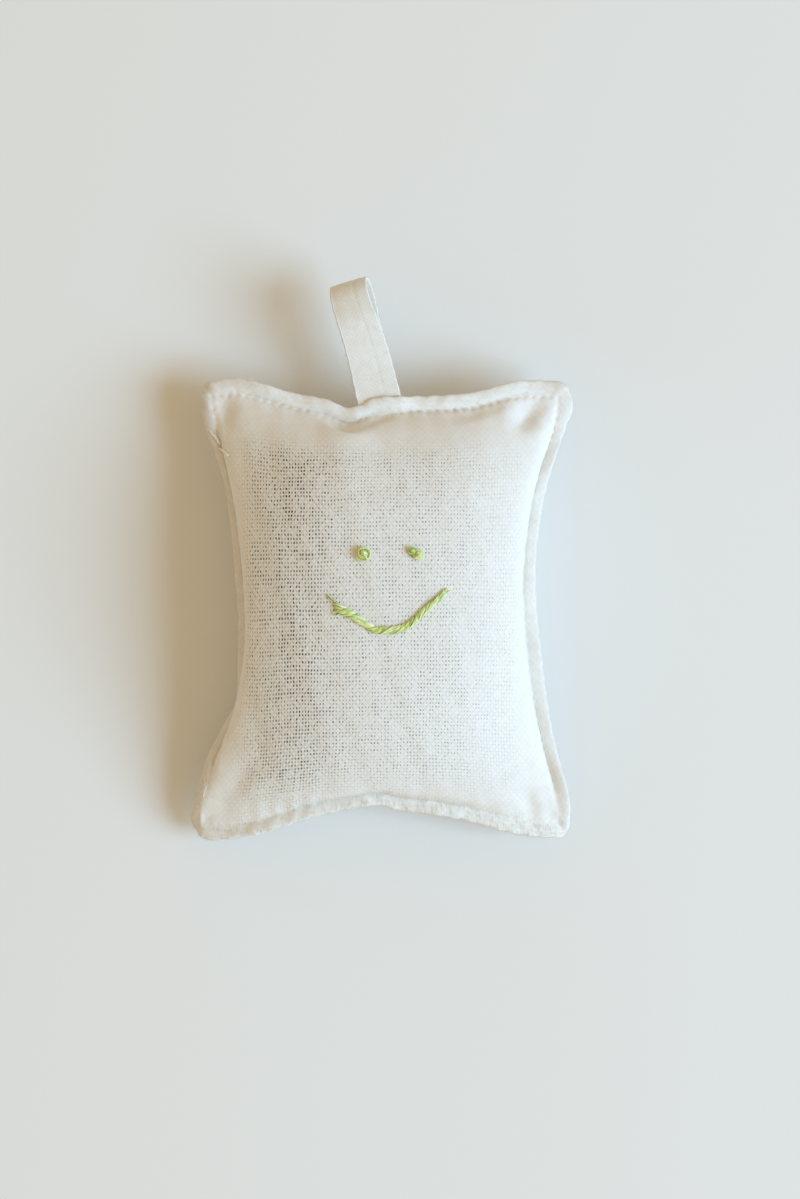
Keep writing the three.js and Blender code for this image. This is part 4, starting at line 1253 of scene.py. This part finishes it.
# %% [markdown]
# ## Seam stitching
#
# A lockstitch shows as short lengths of thread that each dip into the cloth at both ends, 2.1 mm
# apart. The tree walks the stitched line, drops a small grain at every step and turns it along the
# line. The grains are slim and sink half into the crease, which is how they look on the real seam:
# more a row of dimples than a cord.
# %% Seam stitch tree
seam_tree, given, result = begin_tree("seam_stitches", Pitch="Float", Length="Float", Thickness="Float",
                                      Finish="Material")
as_curve = add_node(seam_tree, "GeometryNodeMeshToCurve", {0: given["Geometry"]})
spaced = add_node(seam_tree, "GeometryNodeResampleCurve", {"Curve": as_curve, "Length": given["Pitch"]},
                  mode="LENGTH")
grain = add_node(seam_tree, "GeometryNodeMeshUVSphere", {"Segments": 8, "Rings": 6, "Radius": 0.5})
size = add_node(seam_tree, "ShaderNodeCombineXYZ",
                {0: given["Thickness"], 1: given["Thickness"], 2: given["Length"]})
shaped = add_node(seam_tree, "GeometryNodeTransform", {0: grain, "Scale": size})
tangent = add_node(seam_tree, "GeometryNodeInputTangent")
turned = add_node(seam_tree, "FunctionNodeAlignRotationToVector", {"Vector": tangent}, axis="Z")
placed = add_node(seam_tree, "GeometryNodeInstanceOnPoints",
                  {"Points": spaced, "Instance": shaped, "Rotation": turned})
real = add_node(seam_tree, "GeometryNodeRealizeInstances", {0: placed})
smooth = add_node(seam_tree, "GeometryNodeSetShadeSmooth", {0: real})
finished = add_node(seam_tree, "GeometryNodeSetMaterial", {0: smooth, "Material": given["Finish"]})
seam_tree.links.new(finished.outputs[0], result.inputs[0])
print("seam tree", len(seam_tree.nodes), "nodes")

# %% Sew the seam
STITCH_SEEN, STITCH_THICK = 1.45, 0.30          # of each grain of thread
THREAD_ABOVE = 0.20                             # the pressed cloth
THREAD_OUT = 0.06                               # share of the flange's width, towards the folded edge

for name, side, node in (("front_seam_stitches", 1, "front_seam_thread"),
                         ("back_seam_stitches", -1, "back_seam_thread")):
    thread_z = rim_z + side * (SEAM_LIFT + THREAD_ABOVE)
    line = np.column_stack([rim_xy + (fold_xy - rim_xy) * THREAD_OUT, thread_z])
    edges = [(k, (k + 1) % RIM_POINTS) for k in range(RIM_POINTS)]
    source = new_piece(name + "_line", line, [], edges=edges)
    stitches = grown(name, source, seam_tree, Pitch=NEEDLE_PITCH * MM, Length=STITCH_SEEN * MM,
                     Thickness=STITCH_THICK * MM, Finish=sewing_finish)
    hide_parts(node)
    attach(stitches, "sachet")

# %% [markdown]
# ## The loose thread end
#
# Where the machine stitching starts, at the top left corner, a thread end of about 7 mm was left
# uncut. It comes out of the seam, lies on the cloth in a shallow bow, and its two plies have begun
# to part at the tip.
# %% Thread end
TAIL = [(-41.2, 42.9), (-40.3, 41.4), (-39.2, 39.6), (-37.8, 38.0), (-36.5, 36.6)]
TAIL_STEPS = 22
ACROSS_TAIL = np.array([0.75, 0.66, 0])         # the way across it, in the table's plane
INTO_SEAM = np.array([0.5, 0, 0.6])             # how far its start reaches back into the seam

tail_lines = []
for ply in (0, 1):
    line = []
    for t, (x, y) in zip(np.arange(TAIL_STEPS + 1) / TAIL_STEPS, smooth_line(TAIL, TAIL_STEPS)):
        turn = 9 * t * math.pi + ply * math.pi
        apart = 0.09 + 0.12 * max(0, t - 0.75) * 4
        height = 0.20 + 0.45 * math.sin(math.pi * min(1, t * 1.1)) + apart * (1 + math.sin(turn))
        line.append(above_front(x, y, height) + ACROSS_TAIL * apart * math.cos(turn))
    line[0] = line[0] - INTO_SEAM
    tail_lines.append(np.array(line))
strands_piece("loose_thread_end", tail_lines, [0.85, 1.0], sewing_finish, "thread_tail")

# %% [markdown]
# ## The hanging loop
#
# The loop is a strip of the same linen with both raw edges pressed in, folded in half and caught in
# the top seam with both ends. Webbing could be a flat ribbon, but pressed linen is soft: its edges
# are rounded folds, one face shows the line where the folded-in edge ends, and the two legs part
# towards the top, where the strip turns over. So a section with those folds is swept along the
# strip's own line, and turned a little near the top, where the back leg shows beside the front one.
#
# The strip crosses the hinge at the folded edge of the seam, and is made here as one piece.
# %% Line of the strip, seen from the side
# How far it stands out from the seam, and its height above the seam's middle: the front leg, to the turn
LOOP_SIDE = [(-8.6, 0.40), (-4.0, 0.40), (0.0, 0.40), (3.0, 0.44), (7.0, 0.75), (12.0, 1.70), (17.0, 2.80),
             (21.5, 3.35), (25.0, 2.95), (27.4, 1.75), (28.45, 0.0)]
loop_root = np.array([*LOOP_ROOT, SEAM_HEIGHT])
loop_ahead = np.array([-math.sin(LOOP_LEAN), math.cos(LOOP_LEAN), 0])
loop_aside = np.array([math.cos(LOOP_LEAN), math.sin(LOOP_LEAN), 0])
upwards = np.array([0, 0, 1.0])
side_line = smooth_line(LOOP_SIDE + [(out, -z) for out, z in LOOP_SIDE[-2::-1]], 150)
side_run = run_along(side_line)
print("strip", round(float(side_run[-1]), 1), "mm long")

# %% Section of the strip
EDGE_ROUND = 0.35        # how far in from each edge the strip starts to round over
HEM = 1.6                # where the folded-in edge ends, from the middle of the width
HEM_STEP, HEM_SLOT, HEM_SLOT_WIDTH = 0.07, 0.07, 0.22      # its height, and the fine line beside it
PILLOW = 0.06            # the strip is a little thicker in its middle


def tape_section():
    """The strip's section: across its width, and outwards from its middle layer."""
    half, thick = TAPE_WIDTH / 2, TAPE_THICKNESS / 2
    flat_half = half - EDGE_ROUND
    outer = []
    for x in np.linspace(-flat_half, flat_half, 27):
        step = HEM_STEP * (smoothstep(HEM - 0.25, HEM + 0.05, x) - 0.5)
        slot = HEM_SLOT * math.exp(-(((x - HEM) / HEM_SLOT_WIDTH) ** 2))
        pillow = PILLOW * math.cos(math.pi * x / TAPE_WIDTH)
        outer.append((x, thick - 0.05 + step + pillow - slot))
    turns = np.linspace(0.35, math.pi - 0.35, 6)
    right = [(flat_half + EDGE_ROUND * math.sin(a), thick * math.cos(a)) for a in turns]
    inner = [(x, -thick) for x in np.linspace(flat_half, -flat_half, 14)]
    left = [(-flat_half - EDGE_ROUND * math.sin(a), -thick * math.cos(a)) for a in turns]
    return np.array(outer + right + inner + left)


section = tape_section()
print("section", len(section), "points")

# %% One cut through the strip
TWIST = math.radians(13)                        # at its top
WIDE_AT_SEAM, NARROWER_AT_TOP = 1.05, 0.13      # shares of its width
BOW, LEG_SHIFT = 0.12, 0.9                      # how far it bows, and how far its legs part sideways
RAGGED, RAGGED_PITCH = 0.07, 2.9                # its edges go in and out
CURL = 0.12                                     # its edges curl inwards
PRESSED_WAVE, PRESSED_WAVE_PITCH = 0.10, 6.5    # it isn't pressed quite flat


def tape_cut(k):
    """The section's points at the strip's point k: narrower, twisted and curled towards the top."""
    out, z = side_line[k]
    step = side_line[min(k + 1, len(side_line) - 1)] - side_line[max(k - 1, 0)]
    step = step / np.linalg.norm(step)
    height = smoothstep(12, 29, out)
    twist = TWIST * height
    breadth = WIDE_AT_SEAM - NARROWER_AT_TOP * smoothstep(-2, 29, out)
    bow = BOW * math.sin(2.3 * out / 10) * smoothstep(2, 10, out)
    shift = LEG_SHIFT * height * (-z / 3.3)
    x, y = section.T
    left, right = (RAGGED * ripple(side_run[k], RAGGED_PITCH, seed) for seed in (62, 63))
    edge = np.where(x > 0, right, left) * (x / TAPE_WIDTH * 2)
    curl = CURL * (2 * x / TAPE_WIDTH) ** 2 * smoothstep(2, 8, out)
    wave = PRESSED_WAVE * ripple(side_run[k], PRESSED_WAVE_PITCH, 61)
    y = y + (wave - curl) * smoothstep(1, 6, out)
    across_here = loop_aside * math.cos(twist) + upwards * math.sin(twist)
    along = np.outer(out - step[1] * y, loop_ahead) + np.outer(z + step[0] * y, upwards)
    return loop_root + along + np.outer(x * breadth + edge + shift + bow, across_here)


print("the strip's end", np.round(tape_cut(0).mean(0), 1))

# %% Sweep the strip
TAPE_OPEN = 0.35         # pressed double, the weave hardly opens, so it carries little painted shade
EDGE_FRAY, FLAT_FRAY = 0.5, 0.03


def loop_tape():
    """The strip as one closed piece."""
    wide, long = len(section), len(side_line)
    points = np.concatenate([tape_cut(k) for k in range(long)])
    girth = run_along(np.vstack([section, section[:1]]))[:-1]
    uv = [(g, run) for run in side_run for g in girth]
    rows = np.arange(wide * long).reshape(long, wide)
    rows = np.column_stack([rows, rows[:, 0]])
    around = np.stack([rows[:-1, :-1], rows[:-1, 1:], rows[1:, 1:], rows[1:, :-1]], -1)
    faces = [*around.reshape(-1, 4).tolist(), rows[0, -2::-1].tolist(), rows[-1, :-1].tolist()]
    piece = new_piece("folded_tape", points, faces, uv)
    piece.data.materials.append(tape_linen)
    at_edge = np.abs(section[:, 0]) > TAPE_WIDTH / 2 - 0.5
    paint(piece, "fray", np.tile(np.where(at_edge, EDGE_FRAY, FLAT_FRAY), long))
    paint(piece, "open_and_shade", np.full(len(points), TAPE_OPEN))
    return piece


tape = loop_tape()
shell = bmesh.new()
shell.from_mesh(tape.data)
bmesh.ops.recalc_face_normals(shell, faces=shell.faces)
shell.to_mesh(tape.data)
shell.free()
print("tape", len(tape.data.vertices), "points")

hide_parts("hanging_loop", "loop_tails")
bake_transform(tape)

# %% [markdown]
# ## The filling
#
# Nobody sees the filling, but a part that is opened should hold what the real one holds. Two pads
# of white wadding follow the inside of the cloth and leave a pocket for the lavender between them.
# Each pad is the simulated cloth taken in by 1.3 mm and closed by a dished face.
# %% Matted fibre
TUFTS_IN_MM, TUFT_RELIEF = 0.9, 0.5


def fibre_fill(name):
    """White matted fibre, a little mottled."""
    material = bpy.data.materials.new(name)
    material.use_nodes = True
    tree = material.node_tree
    surface = tree.nodes["Principled BSDF"]
    place = add_node(tree, "ShaderNodeTexCoord").outputs["Object"]
    matted = add_node(tree, "ShaderNodeTexNoise",
                      {"Vector": place, "Scale": TUFTS_IN_MM / MM, "Detail": 6.0, "Distortion": 1.5})
    tint = add_node(tree, "ShaderNodeMix", {0: matted, 6: linear("#E7E5DF"), 7: linear("#FAFAF8")},
                    data_type="RGBA")
    bump = add_node(tree, "ShaderNodeBump",
                    {"Height": matted, "Strength": 0.8, "Distance": TUFT_RELIEF * MM})
    tree.links.new(tint.outputs[2], surface.inputs["Base Color"])
    tree.links.new(bump.outputs[0], surface.inputs["Normal"])
    surface.inputs["Roughness"].default_value = 1.0
    surface.inputs["Sheen Weight"].default_value = 0.4
    return material


wadding_finish = fibre_fill("polyester_fibre_fill")
print(wadding_finish.name, len(wadding_finish.node_tree.nodes), "nodes")

# %% Two pads
POCKET = (17.5, 27.0, 8.0)       # half width, half height and half depth of the lavender's pocket
TAKEN_IN = 1.3                   # from the cloth
PAD_GAP, PAD_EDGE = 0.25, 0.4    # of a pad from the middle, and the least height of its outer face


def wadding(name, fine, face, node):
    """One pad between the cloth and the pocket. face is 0 for the front and 1 for the back."""
    side = (1, -1)[face]
    outer = (fine - normals_of(fine, side) * TAKEN_IN)[::FINER, ::FINER][1:-1, 1:-1].copy()
    outer[..., 2] += LIFT if face == 0 else 0
    middle = seam_height(u_share, v_share)[1:-1, 1:-1]
    lens = 1 - (outer[..., 0] / POCKET[0]) ** 2 - (outer[..., 1] / POCKET[1]) ** 2
    dish = (POCKET[2] + 0.4) * np.sqrt(np.maximum(lens, 0))
    facing = np.dstack([outer[..., :2], middle + side * (PAD_GAP + dish)])
    outer[..., 2] = middle + side * np.maximum(side * (outer[..., 2] - middle), PAD_EDGE)
    index = np.arange(2 * middle.size).reshape(2, *middle.shape)
    top, low = ring_order(index[0]), ring_order(index[1])
    wall = np.stack([top, low, np.roll(low, -1), np.roll(top, -1)], -1)
    faces = np.concatenate([quads_of(index[0]), quads_of(index[1])[:, ::-1], wall])[:, ::side]
    piece = new_piece(name, np.concatenate([outer.reshape(-1, 3), facing.reshape(-1, 3)]), faces.tolist())
    piece.data.materials.append(wadding_finish)
    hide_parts(node)
    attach(piece, "sachet")
    print(name, len(piece.data.polygons), "faces")


wadding("front_fill", front_fine, 0, "front_wadding")
wadding("back_fill", back_fine, 1, "back_wadding")

# %% [markdown]
# ## Lavender buds
#
# Dried lavender buds are small ribbed barrels, 4 to 5 mm long, grey violet, with a paler mouth.
# They fill the pocket in no order. The tree takes a lattice of points, shakes it, and drops a bud
# at each with a random turn and size. Smooth barrels do here, because the buds are only seen when
# the sachet is opened. One seed makes the heap the same in every run.
# %% Dried buds
PATCHES_IN_MM = 0.33            # of grey and violet
DOWN_IN_MM, DOWN_RELIEF = 2.6, 0.1      # fine hairs, drawn coarser than real ones so that they show


def dried_buds(name):
    """Grey violet with paler patches, and a fine down."""
    material = bpy.data.materials.new(name)
    material.use_nodes = True
    tree = material.node_tree
    surface = tree.nodes["Principled BSDF"]
    place = add_node(tree, "ShaderNodeTexCoord").outputs["Object"]
    patch = add_node(tree, "ShaderNodeTexNoise",
                     {"Vector": place, "Scale": PATCHES_IN_MM / MM, "Detail": 3.0})
    ramp = add_node(tree, "ShaderNodeValToRGB", {0: patch})
    ramp.color_ramp.elements[0].color = linear("#4F4570")
    ramp.color_ramp.elements[1].color = linear("#A79E8C")
    ramp.color_ramp.elements.new(0.52).color = linear("#7A6E9B")
    down = add_node(tree, "ShaderNodeTexNoise", {"Vector": place, "Scale": DOWN_IN_MM / MM, "Detail": 2.0})
    bump = add_node(tree, "ShaderNodeBump",
                    {"Height": down, "Strength": 0.6, "Distance": DOWN_RELIEF * MM})
    tree.links.new(ramp.outputs[0], surface.inputs["Base Color"])
    tree.links.new(bump.outputs[0], surface.inputs["Normal"])
    surface.inputs["Roughness"].default_value = 0.9
    surface.inputs["Sheen Weight"].default_value = 0.3
    return material


bud_finish = dried_buds("dried_lavender")
print(bud_finish.name, len(bud_finish.node_tree.nodes), "nodes")

# %% Bud tree
bud_tree, given, result = begin_tree("lavender", Length="Float", Thickness="Float", Shake="Float",
                                     Seed="Int", Finish="Material")
barrel = add_node(bud_tree, "GeometryNodeMeshUVSphere", {"Segments": 8, "Rings": 6, "Radius": 0.5})
size = add_node(bud_tree, "ShaderNodeCombineXYZ",
                {0: given["Thickness"], 1: given["Thickness"], 2: given["Length"]})
bud = add_node(bud_tree, "GeometryNodeTransform", {0: barrel, "Scale": size})
less = add_node(bud_tree, "ShaderNodeMath", {0: given["Shake"], 1: -1.0}, operation="MULTIPLY")
jitter = add_node(bud_tree, "FunctionNodeRandomValue",
                  {"Min": less, "Max": given["Shake"], "Seed": given["Seed"]}, data_type="FLOAT_VECTOR")
shaken = add_node(bud_tree, "GeometryNodeSetPosition", {0: given["Geometry"], "Offset": jitter})
turn = add_node(bud_tree, "FunctionNodeRandomValue", {"Max": (6.3, 6.3, 6.3), "Seed": given["Seed"]},
                data_type="FLOAT_VECTOR")
grow_size = add_node(bud_tree, "FunctionNodeRandomValue", {2: 0.8, 3: 1.15, "Seed": given["Seed"]})
dropped = add_node(bud_tree, "GeometryNodeInstanceOnPoints",
                   {"Points": shaken, "Instance": bud, "Rotation": turn, "Scale": grow_size.outputs[1]})
real = add_node(bud_tree, "GeometryNodeRealizeInstances", {0: dropped})
smooth = add_node(bud_tree, "GeometryNodeSetShadeSmooth", {0: real})
finished = add_node(bud_tree, "GeometryNodeSetMaterial", {0: smooth, "Material": given["Finish"]})
bud_tree.links.new(finished.outputs[0], result.inputs[0])
print("bud tree", len(bud_tree.nodes), "nodes")

# %% Fill the pocket
BUD_SPACING, BUD_LENGTH, BUD_THICKNESS, BUD_SHAKE = 3.0, 4.2, 1.9, 0.5
BUD_ROOM = 2.6          # from the pocket's wall to the middle of the nearest bud

steps = [np.arange(-half, half + 0.1, BUD_SPACING) for half in POCKET]
lattice = np.stack(np.meshgrid(*steps, indexing="ij"), -1).reshape(-1, 3)
room_for_buds = np.array(POCKET) - BUD_ROOM
lattice = lattice[((lattice / room_for_buds) ** 2).sum(1) < 1] + (0, 0, SEAM_HEIGHT)
buds = grown("lavender_buds_heap", new_piece("bud_places", lattice, []), bud_tree, Length=BUD_LENGTH * MM,
             Thickness=BUD_THICKNESS * MM, Shake=BUD_SHAKE * MM, Seed=5, Finish=bud_finish)
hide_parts("lavender_buds")
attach(buds, "sachet")
print("buds", len(lattice))

# %% [markdown]
# ## Stray fibres
#
# Washed linen frays: short fibres stand up from the folded edges, most of all along the bottom,
# where the edge looks almost fluffy. A noise in the colour can't do that at the outline, so real
# fibres are planted. The tree scatters points where the panels say that they fray, bends a short
# hair, and plants it with a random lean.
# %% Fibre tree
fuzz_tree, given, result = begin_tree("stray_fibres", Density="Float", Length="Float", Radius="Float",
                                      Seed="Int", Finish="Material")
fray = add_node(fuzz_tree, "GeometryNodeInputNamedAttribute", {"Name": "fray"}, data_type="FLOAT")
amount = add_node(fuzz_tree, "ShaderNodeMath", {0: fray, 1: given["Density"]}, operation="MULTIPLY")
spots = add_node(fuzz_tree, "GeometryNodeDistributePointsOnFaces",
                 {0: given["Geometry"], "Density": amount, "Seed": given["Seed"]})
hair = add_node(fuzz_tree, "GeometryNodeCurveQuadraticBezier",
                {"Resolution": 4, "Start": (0, 0, -0.05), "Middle": (0, 0, 0.6), "End": (0.55, 0, 0.85)})
scale = add_node(fuzz_tree, "ShaderNodeCombineXYZ",
                 {0: given["Length"], 1: given["Length"], 2: given["Length"]})
hair = add_node(fuzz_tree, "GeometryNodeTransform", {0: hair, "Scale": scale})
tip = add_node(fuzz_tree, "GeometryNodeCurvePrimitiveCircle", {"Resolution": 3, "Radius": given["Radius"]})
tube = add_node(fuzz_tree, "GeometryNodeCurveToMesh",
                {"Curve": hair, "Profile Curve": tip, "Fill Caps": True})
lean = add_node(fuzz_tree, "FunctionNodeRandomValue",
                {"Min": (-1.1, -1.1, -3.1), "Max": (1.1, 1.1, 3.1), "Seed": given["Seed"]},
                data_type="FLOAT_VECTOR")
leaning = add_node(fuzz_tree, "FunctionNodeRotateRotation", {0: spots.outputs["Rotation"], 1: lean},
                   rotation_space="LOCAL")
vary = add_node(fuzz_tree, "FunctionNodeRandomValue", {2: 0.45, 3: 1.3, "Seed": given["Seed"]})
planted = add_node(fuzz_tree, "GeometryNodeInstanceOnPoints",
                   {"Points": spots, "Instance": tube, "Rotation": leaning, "Scale": vary.outputs[1]})
real = add_node(fuzz_tree, "GeometryNodeRealizeInstances", {0: planted})
finished = add_node(fuzz_tree, "GeometryNodeSetMaterial", {0: real, "Material": given["Finish"]})
fuzz_tree.links.new(finished.outputs[0], result.inputs[0])
print("fibre tree", len(fuzz_tree.nodes), "nodes")

# %% Plant the fibres
FIBRES_IN_M2 = 4.5e6            # where the attribute fray is 1
FIBRE_LENGTH, FIBRE_RADIUS = 0.8, 0.016

fibre_finish = spun_thread("linen_fibre", "#F8F6F0", "#F3EFE4", "#E8E1CF", 0.8, 0.3)
for name, frayed_piece, seed in (("front_stray_fibres", front_panel, 3),
                                 ("back_stray_fibres", back_panel, 4), ("tape_stray_fibres", tape, 5)):
    source = bpy.data.objects.new(name + "_source", frayed_piece.data.copy())
    bpy.context.scene.collection.objects.link(source)
    fibres = grown(name, source, fuzz_tree, Density=FIBRES_IN_M2, Length=FIBRE_LENGTH * MM,
                   Radius=FIBRE_RADIUS * MM, Seed=seed, Finish=fibre_finish)
    if frayed_piece is tape:
        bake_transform(fibres)
    else:
        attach(fibres, "sachet")
